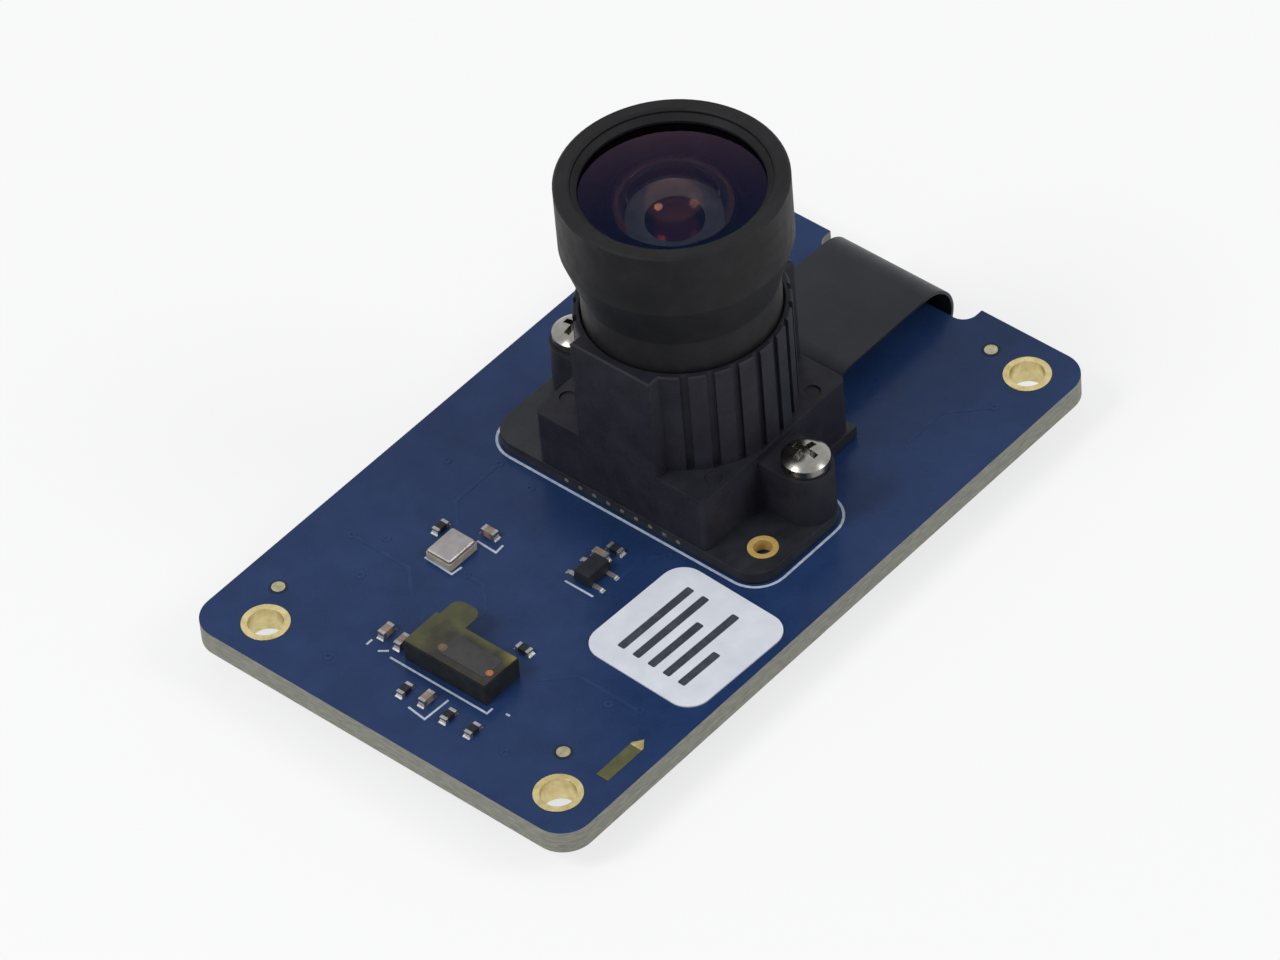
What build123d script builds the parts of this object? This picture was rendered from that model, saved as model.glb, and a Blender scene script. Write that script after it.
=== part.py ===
from build123d import *
import os
from math import atan2, cos, sin, sqrt

os.makedirs("parts", exist_ok=True)

# Camera module. Origin: centre of the mounting-hole pattern on the underside of the main board.
# +X runs along the board to the notched short edge, +Z points the way the lens looks.

# Main board
board_length = 49.0
board_width = 30.0
board_thickness = 1.6
board_corner_radius = 2.0
mount_end_gap = 2.75
mount_edge_gap = 3.0
mount_far_gap = 4.0
mount_hole_diameter = 2.2
mount_ring_diameter = 3.0
plating_wall = 0.05
plating_lip = 0.04
round_seat_gap = 0.01
notch_width = 12.0
notch_depth = 1.5
notch_corner_radius = 1.0
fiducial_diameter = 0.85
fiducial_end_gaps = (5.4, 2.4)
fiducial_edge_gaps = (4.9, 2.6, 6.1)
test_strip_size = (3.8, 0.9, 0.04)
test_strip_tip = 0.6
test_strip_gaps = (7.1, 1.75)
label_side = 9.0
label_thickness = 0.1
label_corner_radius = 1.5
label_place = (-7.7, -9.3)
label_turn = -2.0

mount_pitch_x = board_length - 2 * mount_end_gap
mount_pitch_y = board_width - mount_edge_gap - mount_far_gap
board_mid_y = (mount_far_gap - mount_edge_gap) / 2
board_top = board_thickness
left_end = -board_length / 2
right_end = board_length / 2
near_edge = board_mid_y - board_width / 2
far_edge = board_mid_y + board_width / 2
fiducial_places = [
    (left_end + fiducial_end_gaps[0], far_edge - fiducial_edge_gaps[1]),
    (left_end + fiducial_end_gaps[0], near_edge + fiducial_edge_gaps[0]),
    (right_end - fiducial_end_gaps[1], near_edge + fiducial_edge_gaps[2]),
]
test_strip_place = (left_end + test_strip_gaps[0], near_edge + test_strip_gaps[1])

# Lens axis, and the heights of the lens unit above the main board
lens_x = 4.4
lens_drop = 0.25
lens_y = board_mid_y - lens_drop
lens_rim_height = 22.55
tower_top_height = 12.6
base_top_height = 5.0
ear_top_height = 4.5
tape_thickness = 0.1
sensor_board_thickness = 0.8

# Sensor board
sensor_board_front = 6.7
sensor_board_back = 7.0
sensor_board_core_half = 6.9
sensor_wing_half = 10.7
sensor_wing_back = 1.8
sensor_corner_radius = 1.8
tooling_hole_diameter = 1.2
tooling_ring_diameter = 1.9
tooling_hole_offset = (-4.3, -9.0)
tape_margin = 0.5

# Lens holder: walls round the bore, in the round tower, at its two flat pads and in the square base
tower_wall = 0.5
holder_base_wall = 0.6
pad_half_width = 3.05
holder_edge_radius = 0.5
tower_top_chamfer = 0.1
holder_side_wall = 0.8
ear_radius = 1.7
screw_spacing = 18.0
web_height = 2.3
web_thickness = 0.8
web_window = (8.0, 6.4)
bore_mouth_chamfer = 0.1
flute_width = 0.5
flute_depth = 0.25
flutes_per_side = 8
flute_first_angle = 41
flute_sweep = 98
ejector_mark_diameter = 1.1
ejector_mark_depth = 0.1
ejector_mark_insets = (2.1, 0.95)

# Holder screws and nuts
screw_diameter = 1.6
screw_clearance = 0.1
screw_tip_reach = 0.6
screw_end_chamfer = 0.2
screw_head_diameter = 3.0
screw_head_height = 1.2
screw_head_crown = 0.55
cross_width = 0.4
cross_length = 1.7
cross_depth = 0.6
nut_across_flats = 3.2
nut_height = 1.3

# Image sensor
sensor_package = (9.6, 8.0, 1.1)
sensor_well = (6.8, 5.4, 0.5)
sensor_die_size = (6.0, 4.6, 0.3)
cover_glass = (8.6, 7.0, 0.5)
filter_glass = (9.4, 7.8, 0.3)

# Lens barrel
head_diameter = 14.0
head_height = 4.5
taper_height = 3.2
thread_diameter = 12.0
thread_clearance = 0.05
barrel_length = 17.75
rim_wall = 1.0
rim_chamfer = 0.15
ring_recess = 0.1
ring_edge_height = 0.15
ring_edge_wall = 0.12
front_seat_diameter = 11.2
front_seat_depth = 0.75
front_bore_depth = 5.55
lip_diameter = 7.6
lip_thickness = 0.4
rear_bore_diameter = 8.6
glass_clearance = 0.02

# Glass elements: edge thickness, clear half-apertures and surface radii
front_radius = 25.0
front_edge_thickness = 2.2
front_hollow_radius = 4.3
front_hollow_half = 3.7
cone_ring_mouth = 7.4
cone_ring_throat = 3.8
cone_throat_height = 0.3
second_edge_thickness = 2.3
second_front_radius = 12.0
second_half = 3.3
stop_thickness = 0.8
stop_aperture = 3.2
stop_plate = 0.12
stop_hollow_margin = 0.2
third_edge_thickness = 2.7
third_front_radius = 9.0
third_half = 3.3
rear_spacer_thickness = 1.0
rear_spacer_aperture = 7.2
rear_edge_thickness = 2.8
rear_front_radius = 10.0
rear_half = 3.3
rear_ring_thickness = 1.2
rear_ring_aperture = 6.8

# Flex tail, its plug and the board's receptacle
flex_width = 8.2
flex_thickness = 0.2
flex_embedded = 2.0
flex_rise_length = 3.0
flex_run_height = 2.0
flex_fold_gap = 0.4
stiffener_thickness = 0.3
stiffener_length = 4.4
receptacle_end_gap = 7.2
receptacle_size = (2.7, 7.2, 0.75)
receptacle_well = (2.1, 6.6, 0.4)
plug_clearance = 0.05
mated_height = 1.0
pin_spacing = 0.5
receptacle_pins_per_side = 12
receptacle_foot = (0.4, 0.2, 0.12)

# Ribbon connector on the underside
ribbon_ways = 22
ribbon_end_inset = 2.2
ribbon_depth = 5.4
ribbon_height = 2.0
ribbon_end_wall = 1.6
ribbon_end_gap = 0.9
ribbon_floor = 0.75
ribbon_slot = 0.35
ribbon_cavity_depth = 3.5
slider_bar = 0.8
slider_travel = 1.2
slider_clearance = 0.05
tongue_thickness = 0.35
tongue_length = 2.6
arm_thickness = 0.5
arm_height = 0.6
arm_length = 2.9
hook_length = 0.7
hook_reach = 0.3
slider_bar_chamfer = 0.12
finger_tab = (1.3, 0.6)
contact_front_gap = 0.4
contact_play = 0.05
contact_width = 0.2
contact_slot_clearance = 0.02
contact_beam_thickness = 0.18
contact_beam_height = 0.36
contact_tail_length = 0.7
tab_size = (1.6, 0.8, 0.2)

# Small packages on the top face
ranging_size = (3.0, 6.4, 1.5)
ranging_end_gap = 7.0
ranging_y = -0.35
ranging_window_diameters = (0.9, 1.3)
ranging_window_spacing = 4.0
ranging_window_depth = 0.25
film_thickness = 0.08
film_margin = 0.05
film_tab = (1.6, 2.0)
film_tab_y = 1.9
crystal_size = (2.5, 2.0, 0.5)
crystal_lid_size = (2.36, 1.86, 0.25)
crystal_corner_radius = 0.15
crystal_lid_chamfer = 0.08
crystal_place = (-10.75, 6.45)
diode_body = (2.0, 1.25, 0.85)
diode_place = (-7.1, -1.5)
diode_lead_spacing = 1.3
diode_lead = (0.3, 0.42, 0.12)
diode_draft = 6

# Chip capacitors and resistors: place and turn
chip_length = 1.0
chip_width = 0.5
chip_cap_length = 0.22
capacitor_height = 0.5
resistor_height = 0.35
end_capacitors = [(6.4, 5.1, 0), (6.3, 3.75, 0), (3.7, -0.5, 0)]
end_resistors = [(3.5, 1.05, 0), (3.45, -2.4, 0), (3.45, -4.3, 0), (10.2, -2.4, 90)]
top_capacitors = [(-8.25, 5.6, 90), (-5.7, -0.95, 90)] + [(left_end + x, y, turn) for x, y, turn in end_capacitors]
top_resistors = [(-9.6, 8.35, 0), (-4.75, -1.3, 90)] + [(left_end + x, y, turn) for x, y, turn in end_resistors]
under_capacitors = [(-12.5, 5.2, 90), (-12.5, -5.2, 90), (-6.5, 5.6, 0), (-6.5, -5.4, 0), (0.5, 3.4, 90),
                    (0.5, -3.0, 90), (12.4, 5.4, 90), (12.4, -4.9, 90)]
under_resistors = [(-12.5, 2.6, 90), (-12.5, -2.6, 90), (-3.2, 5.6, 0), (-3.2, -5.4, 0), (10.6, 5.4, 90),
                   (10.6, -4.9, 90)]
motion_size = (3.0, 2.5, 0.86)
motion_place = (-8.2, 0.25)
regulator_size = (1.2, 1.2, 0.5)
regulator_places = [(-2.6, 2.6), (-2.6, 0.2), (-2.6, -2.2)]

# Levels and shared places that follow from the values above
ranging_place = (left_end + ranging_end_gap, ranging_y)
receptacle_x = right_end - receptacle_end_gap
ribbon_entry_x = left_end + ribbon_end_inset
flex_fold_reach = right_end - flex_fold_gap
sensor_board_bottom = board_top + tape_thickness
sensor_board_top = sensor_board_bottom + sensor_board_thickness
base_top = board_top + base_top_height
tower_top = board_top + tower_top_height
ear_top = board_top + ear_top_height
web_bottom = sensor_board_top + web_height
web_top = web_bottom + web_thickness
lens_rim = board_top + lens_rim_height
bore_radius = thread_diameter / 2 + thread_clearance
tower_radius = bore_radius + tower_wall
holder_width = 2 * (bore_radius + holder_base_wall)
holder_cavity = holder_width - 2 * holder_side_wall
screw_length = ear_top + nut_height + screw_tip_reach
screw_hole_radius = screw_diameter / 2 + screw_clearance
screw_places = [(lens_x, lens_y - screw_spacing / 2), (lens_x, lens_y + screw_spacing / 2)]
tooling_place = (lens_x + tooling_hole_offset[0], lens_y + tooling_hole_offset[1])
lens_axis = Axis((lens_x, lens_y, 0), (0, 0, 1))
lens_section = Plane(origin=(lens_x, lens_y, 0), x_dir=(1, 0, 0), z_dir=(0, -1, 0))


def sag(radius, half):
    """Depth of a sphere of this radius over a clear half-aperture."""
    return radius - sqrt(radius**2 - half**2)


# Main board: rounded outline, notch for the flex, drilled holes
drill_radius = mount_hole_diameter / 2 + plating_wall + round_seat_gap
with BuildPart() as main_board:
    with BuildSketch() as board_outline:
        with Locations((0, board_mid_y)):
            RectangleRounded(board_length, board_width, board_corner_radius)
        with Locations((board_length / 2, lens_y)):
            Rectangle(2 * notch_depth, notch_width, mode=Mode.SUBTRACT)
        notch_floor = board_length / 2 - notch_depth
        inner_corners = board_outline.vertices().filter_by_position(Axis.X, notch_floor - 0.1, notch_floor + 0.1)
        fillet(inner_corners, notch_corner_radius)
        with GridLocations(mount_pitch_x, mount_pitch_y, 2, 2):
            Circle(drill_radius, mode=Mode.SUBTRACT)
        with Locations(*screw_places):
            Circle(screw_hole_radius, mode=Mode.SUBTRACT)
    extrude(amount=board_thickness)
main_board.part.label = "main_board"
export_step(main_board.part, "parts/main_board.step")

# Plated barrels of the four mounting holes, with a ring on each face
with BuildPart() as mounting_hole_plating:
    with BuildSketch():
        with GridLocations(mount_pitch_x, mount_pitch_y, 2, 2):
            Circle(mount_hole_diameter / 2 + plating_wall)
    extrude(amount=board_thickness)
    for ring_level in (-plating_lip, board_top):
        with BuildSketch(Plane.XY.offset(ring_level)):
            with GridLocations(mount_pitch_x, mount_pitch_y, 2, 2):
                Circle(mount_ring_diameter / 2)
        extrude(amount=plating_lip)
    with GridLocations(mount_pitch_x, mount_pitch_y, 2, 2):
        Hole(mount_hole_diameter / 2)
mounting_hole_plating.part.label = "mounting_hole_plating"
export_step(mounting_hole_plating.part, "parts/mounting_hole_plating.step")

# Fiducial dots and the strip near the corner
with BuildPart() as fiducial_dots:
    with BuildSketch(Plane.XY.offset(board_top)):
        with Locations(*fiducial_places):
            Circle(fiducial_diameter / 2)
    extrude(amount=plating_lip)
fiducial_dots.part.label = "fiducial_dots"
export_step(fiducial_dots.part, "parts/fiducial_dots.step")

strip_x, strip_y = test_strip_place
strip_half_length, strip_half_width = test_strip_size[0] / 2, test_strip_size[1] / 2
with BuildPart() as test_strip:
    with BuildSketch(Plane.XY.offset(board_top)):
        with BuildLine():
            Polyline(
                (strip_x - strip_half_length, strip_y - strip_half_width),
                (strip_x + strip_half_length - test_strip_tip, strip_y - strip_half_width),
                (strip_x + strip_half_length, strip_y),
                (strip_x + strip_half_length - test_strip_tip, strip_y + strip_half_width),
                (strip_x - strip_half_length, strip_y + strip_half_width),
                close=True,
            )
        make_face()
    extrude(amount=test_strip_size[2])
test_strip.part.label = "test_strip"
export_step(test_strip.part, "parts/test_strip.step")

# Sticker, laid on a little askew
with BuildPart() as sticker:
    with BuildSketch(Plane.XY.offset(board_top)):
        with Locations(Location(label_place, label_turn)):
            RectangleRounded(label_side, label_side, label_corner_radius)
    extrude(amount=label_thickness)
sticker.part.label = "sticker"
export_step(sticker.part, "parts/sticker.step")

# Ranging sensor: black package with two round windows, under a thin film with a pull tab
window_places = [
    (ranging_place[0], ranging_place[1] - ranging_window_spacing / 2),
    (ranging_place[0], ranging_place[1] + ranging_window_spacing / 2),
]
with BuildPart() as ranging_sensor:
    with BuildSketch(Plane.XY.offset(board_top)):
        with Locations(ranging_place):
            Rectangle(ranging_size[0], ranging_size[1])
    extrude(amount=ranging_size[2])
    for place, window_diameter in zip(window_places, ranging_window_diameters):
        with BuildSketch(Plane.XY.offset(board_top + ranging_size[2])):
            with Locations(place):
                Circle(window_diameter / 2)
        extrude(amount=-ranging_window_depth, mode=Mode.SUBTRACT)
ranging_sensor.part.label = "ranging_sensor"
export_step(ranging_sensor.part, "parts/ranging_sensor.step")

film_length = ranging_size[1] - 2 * film_margin
film_width = ranging_size[0] - 2 * film_margin
tab_middle_x = ranging_place[0] + film_width / 2 + film_tab[0] / 2
with BuildPart() as ranging_film:
    with BuildSketch(Plane.XY.offset(board_top + ranging_size[2])) as film_outline:
        with Locations(ranging_place):
            Rectangle(film_width, film_length)
        with Locations((tab_middle_x, ranging_place[1] + film_tab_y)):
            Rectangle(film_tab[0], film_tab[1])
        fillet(film_outline.vertices().group_by(Axis.X)[-1], film_tab[1] * 0.35)
    extrude(amount=film_thickness)
ranging_film.part.label = "ranging_film"
export_step(ranging_film.part, "parts/ranging_film.step")

# Crystal: ceramic base and welded metal lid
with BuildPart() as crystal_base:
    with BuildSketch(Plane.XY.offset(board_top)):
        with Locations(crystal_place):
            RectangleRounded(crystal_size[0], crystal_size[1], crystal_corner_radius)
    extrude(amount=crystal_size[2])
crystal_base.part.label = "crystal_base"
export_step(crystal_base.part, "parts/crystal_base.step")

with BuildPart() as crystal_lid:
    with BuildSketch(Plane.XY.offset(board_top + crystal_size[2])):
        with Locations(crystal_place):
            RectangleRounded(crystal_lid_size[0], crystal_lid_size[1], crystal_corner_radius)
    extrude(amount=crystal_lid_size[2])
    chamfer(crystal_lid.edges().group_by(Axis.Z)[-1], crystal_lid_chamfer)
crystal_lid.part.label = "crystal_lid"
export_step(crystal_lid.part, "parts/crystal_lid.step")

# Diode package with four leads
with BuildPart() as diode_package:
    with BuildSketch(Plane.XY.offset(board_top + diode_lead[2])):
        with Locations(diode_place):
            Rectangle(diode_body[0], diode_body[1])
    extrude(amount=diode_body[2] - diode_lead[2], taper=diode_draft)
diode_package.part.label = "diode_package"
export_step(diode_package.part, "parts/diode_package.step")

with BuildPart() as diode_leads:
    with BuildSketch(Plane.XY.offset(board_top)):
        with Locations(diode_place):
            with GridLocations(diode_lead_spacing, diode_body[1] + diode_lead[1], 2, 2):
                Rectangle(diode_lead[0], diode_lead[1] * 2)
    extrude(amount=diode_lead[2])
diode_leads.part.label = "diode_leads"
export_step(diode_leads.part, "parts/diode_leads.step")


def chip_middles(places):
    """Bodies of chips laid flat, between their end caps."""
    for x, y, turn in places:
        with Locations(Location((x, y), turn)):
            Rectangle(chip_length - 2 * chip_cap_length, chip_width)


def chip_ends(places):
    """End caps of chips laid flat."""
    for x, y, turn in places:
        with Locations(Location((x, y), turn)):
            with GridLocations(chip_length - chip_cap_length, 1, 2, 1):
                Rectangle(chip_cap_length, chip_width)


with BuildPart() as capacitor_bodies:
    with BuildSketch(Plane.XY.offset(board_top)):
        chip_middles(top_capacitors)
    extrude(amount=capacitor_height)
    with BuildSketch(Plane.XY.offset(-capacitor_height)):
        chip_middles(under_capacitors)
    extrude(amount=capacitor_height)
capacitor_bodies.part.label = "capacitor_bodies"
export_step(capacitor_bodies.part, "parts/capacitor_bodies.step")

with BuildPart() as capacitor_caps:
    with BuildSketch(Plane.XY.offset(board_top)):
        chip_ends(top_capacitors)
    extrude(amount=capacitor_height)
    with BuildSketch(Plane.XY.offset(-capacitor_height)):
        chip_ends(under_capacitors)
    extrude(amount=capacitor_height)
capacitor_caps.part.label = "capacitor_caps"
export_step(capacitor_caps.part, "parts/capacitor_caps.step")

with BuildPart() as resistor_bodies:
    with BuildSketch(Plane.XY.offset(board_top)):
        chip_middles(top_resistors)
    extrude(amount=resistor_height)
    with BuildSketch(Plane.XY.offset(-resistor_height)):
        chip_middles(under_resistors)
    extrude(amount=resistor_height)
resistor_bodies.part.label = "resistor_bodies"
export_step(resistor_bodies.part, "parts/resistor_bodies.step")

with BuildPart() as resistor_caps:
    with BuildSketch(Plane.XY.offset(board_top)):
        chip_ends(top_resistors)
    extrude(amount=resistor_height)
    with BuildSketch(Plane.XY.offset(-resistor_height)):
        chip_ends(under_resistors)
    extrude(amount=resistor_height)
resistor_caps.part.label = "resistor_caps"
export_step(resistor_caps.part, "parts/resistor_caps.step")

# Motion sensor and regulators on the underside
with BuildPart() as motion_sensor:
    with BuildSketch(Plane.XY.offset(-motion_size[2])):
        with Locations(motion_place):
            Rectangle(motion_size[0], motion_size[1])
    extrude(amount=motion_size[2])
motion_sensor.part.label = "motion_sensor"
export_step(motion_sensor.part, "parts/motion_sensor.step")

with BuildPart() as voltage_regulators:
    with BuildSketch(Plane.XY.offset(-regulator_size[2])):
        with Locations(*regulator_places):
            Rectangle(regulator_size[0], regulator_size[1])
    extrude(amount=regulator_size[2])
voltage_regulators.part.label = "voltage_regulators"
export_step(voltage_regulators.part, "parts/voltage_regulators.step")

# Sensor board: a core under the holder with a wing under each ear, and the tape below it
flex_middle = sensor_board_bottom + sensor_board_thickness / 2
tooling_drill = tooling_hole_diameter / 2 + plating_wall + round_seat_gap


def sensor_board_outline(inset):
    """Outline of the sensor board, drawn smaller by an inset all round."""
    core_length = sensor_board_front + sensor_board_back - 2 * inset
    core_middle = lens_x + (sensor_board_back - sensor_board_front) / 2
    wing_length = sensor_board_front + sensor_wing_back - 2 * inset
    wing_middle = lens_x + (sensor_wing_back - sensor_board_front) / 2
    with Locations((core_middle, lens_y)):
        Rectangle(core_length, 2 * (sensor_board_core_half - inset))
    with Locations((wing_middle, lens_y)):
        RectangleRounded(wing_length, 2 * (sensor_wing_half - inset), sensor_corner_radius - inset)
    with Locations(*screw_places):
        Circle(screw_hole_radius + inset, mode=Mode.SUBTRACT)
    with Locations(tooling_place):
        Circle(tooling_drill + inset, mode=Mode.SUBTRACT)


with BuildPart() as sensor_board:
    with BuildSketch(Plane.XY.offset(sensor_board_bottom)):
        sensor_board_outline(0)
    extrude(amount=sensor_board_thickness)
    with BuildSketch(Plane.XY.offset(flex_middle - flex_thickness / 2)):
        with Locations((lens_x + sensor_board_back - flex_embedded / 2, lens_y)):
            Rectangle(flex_embedded, flex_width)
    extrude(amount=flex_thickness, mode=Mode.SUBTRACT)
sensor_board.part.label = "sensor_board"
export_step(sensor_board.part, "parts/sensor_board.step")

with BuildPart() as sensor_board_tape:
    with BuildSketch(Plane.XY.offset(board_top)):
        sensor_board_outline(tape_margin)
    extrude(amount=tape_thickness)
sensor_board_tape.part.label = "sensor_board_tape"
export_step(sensor_board_tape.part, "parts/sensor_board_tape.step")

# Plated tooling hole of the sensor board: a barrel with a ring on its upper face
with BuildPart() as tooling_hole_plating:
    with BuildSketch(Plane.XY.offset(sensor_board_bottom)):
        with Locations(tooling_place):
            Circle(tooling_hole_diameter / 2 + plating_wall)
    extrude(amount=sensor_board_thickness)
    with BuildSketch(Plane.XY.offset(sensor_board_top)):
        with Locations(tooling_place):
            Circle(tooling_ring_diameter / 2)
    extrude(amount=plating_lip)
    with Locations(tooling_place):
        Hole(tooling_hole_diameter / 2)
tooling_hole_plating.part.label = "tooling_hole_plating"
export_step(tooling_hole_plating.part, "parts/tooling_hole_plating.step")

# Image sensor: package with a well, die in the well, cover glass over it
with BuildPart() as image_sensor:
    with BuildSketch(Plane.XY.offset(sensor_board_top)):
        with Locations((lens_x, lens_y)):
            Rectangle(sensor_package[0], sensor_package[1])
    extrude(amount=sensor_package[2])
    with BuildSketch(Plane.XY.offset(sensor_board_top + sensor_package[2])):
        with Locations((lens_x, lens_y)):
            Rectangle(sensor_well[0], sensor_well[1])
    extrude(amount=-sensor_well[2], mode=Mode.SUBTRACT)
image_sensor.part.label = "image_sensor"
export_step(image_sensor.part, "parts/image_sensor.step")

well_floor = sensor_board_top + sensor_package[2] - sensor_well[2]
with BuildPart() as sensor_die:
    with BuildSketch(Plane.XY.offset(well_floor)):
        with Locations((lens_x, lens_y)):
            Rectangle(sensor_die_size[0], sensor_die_size[1])
    extrude(amount=sensor_die_size[2])
sensor_die.part.label = "sensor_die"
export_step(sensor_die.part, "parts/sensor_die.step")

with BuildPart() as sensor_cover_glass:
    with BuildSketch(Plane.XY.offset(sensor_board_top + sensor_package[2])):
        with Locations((lens_x, lens_y)):
            Rectangle(cover_glass[0], cover_glass[1])
    extrude(amount=cover_glass[2])
sensor_cover_glass.part.label = "sensor_cover_glass"
export_step(sensor_cover_glass.part, "parts/sensor_cover_glass.step")

# Filter glass, glued under the web of the holder
with BuildPart() as filter_pane:
    with BuildSketch(Plane.XY.offset(web_bottom - filter_glass[2])):
        with Locations((lens_x, lens_y)):
            Rectangle(filter_glass[0], filter_glass[1])
    extrude(amount=filter_glass[2])
filter_pane.part.label = "filter_pane"
export_step(filter_pane.part, "parts/filter_pane.step")

# Lens holder: square base with two round ears, round fluted tower with two flat pads, bore, web and cavity
tower_height = tower_top - base_top
with BuildPart() as lens_holder:
    with BuildSketch(Plane.XY.offset(sensor_board_top)):
        with Locations((lens_x, lens_y)):
            RectangleRounded(holder_width, holder_width, holder_edge_radius)
    extrude(amount=base_top - sensor_board_top)
    with BuildSketch(Plane.XY.offset(sensor_board_top)):
        with Locations((lens_x, lens_y)):
            Rectangle(2 * ear_radius, screw_spacing)
        with Locations(*screw_places):
            Circle(ear_radius)
    extrude(amount=ear_top - sensor_board_top)
    with BuildSketch(Plane.XY.offset(base_top)):
        with Locations((lens_x, lens_y)):
            Circle(tower_radius)
            Rectangle(holder_width, 2 * pad_half_width)
    extrude(amount=tower_height)
    chamfer(lens_holder.edges().group_by(Axis.Z)[-1], tower_top_chamfer)
    with BuildSketch(Plane.XY.offset(web_top)):
        with Locations((lens_x, lens_y)):
            Circle(bore_radius)
    extrude(amount=tower_top - web_top, mode=Mode.SUBTRACT)
    top_circles = lens_holder.edges().filter_by(GeomType.CIRCLE).group_by(Axis.Z)[-1]
    bore_mouth = min(top_circles, key=lambda edge: abs(edge.radius - bore_radius))
    chamfer(bore_mouth, bore_mouth_chamfer)
    with BuildSketch(Plane.XY.offset(base_top)):
        with Locations((lens_x, lens_y)):
            for first_angle in (flute_first_angle, flute_first_angle + 180):
                with PolarLocations(tower_radius, flutes_per_side, first_angle, flute_sweep, endpoint=True):
                    Rectangle(2 * flute_depth, flute_width)
    extrude(amount=tower_height, mode=Mode.SUBTRACT)
    with BuildSketch(Plane.XY.offset(web_bottom)):
        with Locations((lens_x, lens_y)):
            Rectangle(web_window[0], web_window[1])
    extrude(amount=web_thickness, mode=Mode.SUBTRACT)
    with BuildSketch(Plane.XY.offset(sensor_board_top)):
        with Locations((lens_x, lens_y)):
            RectangleRounded(holder_cavity, holder_cavity, holder_edge_radius)
    extrude(amount=web_height, mode=Mode.SUBTRACT)
    with BuildSketch(Plane.XY.offset(sensor_board_top)):
        with Locations(*screw_places):
            Circle(screw_hole_radius)
    extrude(amount=ear_top - sensor_board_top, mode=Mode.SUBTRACT)
    with BuildSketch(Plane.XY.offset(base_top)):
        with Locations((lens_x, lens_y)):
            mark_pitch_x = holder_width - 2 * ejector_mark_insets[0]
            mark_pitch_y = holder_width - 2 * ejector_mark_insets[1]
            with GridLocations(mark_pitch_x, mark_pitch_y, 2, 2):
                Circle(ejector_mark_diameter / 2)
    extrude(amount=-ejector_mark_depth, mode=Mode.SUBTRACT)
lens_holder.part.label = "lens_holder"
export_step(lens_holder.part, "parts/lens_holder.step")

# Screws through the ears, the sensor board and the main board, with a nut under each
screw_end_radius = screw_diameter / 2 - screw_end_chamfer
with BuildPart() as holder_screws:
    for place in screw_places:
        shank_section = Plane(origin=(place[0], place[1], ear_top), x_dir=(1, 0, 0), z_dir=(0, -1, 0))
        with BuildSketch(shank_section):
            with BuildLine():
                Polyline((0, screw_head_height), (0, -screw_length), (screw_end_radius, -screw_length))
                Line((screw_end_radius, -screw_length), (screw_diameter / 2, -screw_length + screw_end_chamfer))
                Polyline((screw_diameter / 2, -screw_length + screw_end_chamfer), (screw_diameter / 2, 0),
                         (screw_head_diameter / 2, 0), (screw_head_diameter / 2, screw_head_height - screw_head_crown))
                TangentArc((0, screw_head_height),
                           (screw_head_diameter / 2, screw_head_height - screw_head_crown), tangent=(1, 0))
            make_face()
        revolve(axis=Axis((place[0], place[1], 0), (0, 0, 1)))
    with BuildSketch(Plane.XY.offset(ear_top + screw_head_height)):
        with Locations(*screw_places):
            Rectangle(cross_length, cross_width)
            Rectangle(cross_width, cross_length)
    extrude(amount=-cross_depth, mode=Mode.SUBTRACT)
holder_screws.part.label = "holder_screws"
export_step(holder_screws.part, "parts/holder_screws.step")

with BuildPart() as holder_nuts:
    with BuildSketch(Plane.XY.offset(-nut_height)):
        with Locations(*screw_places):
            RegularPolygon(nut_across_flats / 2, 6, major_radius=False)
            Circle(screw_diameter / 2 + round_seat_gap, mode=Mode.SUBTRACT)
    extrude(amount=nut_height)
holder_nuts.part.label = "holder_nuts"
export_step(holder_nuts.part, "parts/holder_nuts.step")

# Lens barrel: broad head, taper, threaded neck, stepped bore open at both ends
head_radius = head_diameter / 2
neck_radius = thread_diameter / 2
mouth_radius = head_radius - rim_wall
front_seat_radius = front_seat_diameter / 2
lip_radius = lip_diameter / 2
rear_bore_radius = rear_bore_diameter / 2
barrel_bottom = lens_rim - barrel_length
front_seat = lens_rim - front_seat_depth
front_floor = lens_rim - front_bore_depth
lip_bottom = front_floor - lip_thickness
with BuildPart() as lens_barrel:
    with BuildSketch(lens_section):
        with BuildLine():
            Polyline(
                (mouth_radius, lens_rim),
                (head_radius, lens_rim),
                (head_radius, lens_rim - head_height),
                (neck_radius, lens_rim - head_height - taper_height),
                (neck_radius, barrel_bottom),
                (rear_bore_radius, barrel_bottom),
                (rear_bore_radius, lip_bottom),
                (lip_radius, lip_bottom),
                (lip_radius, front_floor),
                (front_seat_radius, front_floor),
                (front_seat_radius, front_seat),
                (mouth_radius, front_seat),
                close=True,
            )
        make_face()
    revolve(axis=lens_axis)
    chamfer(lens_barrel.edges().group_by(Axis.Z)[-1], rim_chamfer)
lens_barrel.part.label = "lens_barrel"
export_step(lens_barrel.part, "parts/lens_barrel.step")

# Front glass: shallow dome in front, deep hollow behind
front_glass_radius = front_seat_radius - glass_clearance
front_edge_top = front_seat
front_edge_bottom = front_edge_top - front_edge_thickness
front_crown = front_edge_top + sag(front_radius, front_glass_radius)
hollow_crown = front_edge_bottom + sag(front_hollow_radius, front_hollow_half)
with BuildPart() as front_glass:
    with BuildSketch(lens_section):
        with BuildLine():
            TangentArc((0, front_crown), (front_glass_radius, front_edge_top), tangent=(1, 0))
            Polyline(
                (front_glass_radius, front_edge_top),
                (front_glass_radius, front_edge_bottom),
                (front_hollow_half, front_edge_bottom),
            )
            TangentArc((0, hollow_crown), (front_hollow_half, front_edge_bottom), tangent=(1, 0))
            Line((0, hollow_crown), (0, front_crown))
        make_face()
    revolve(axis=lens_axis)
front_glass.part.label = "front_glass"
export_step(front_glass.part, "parts/front_glass.step")

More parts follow.
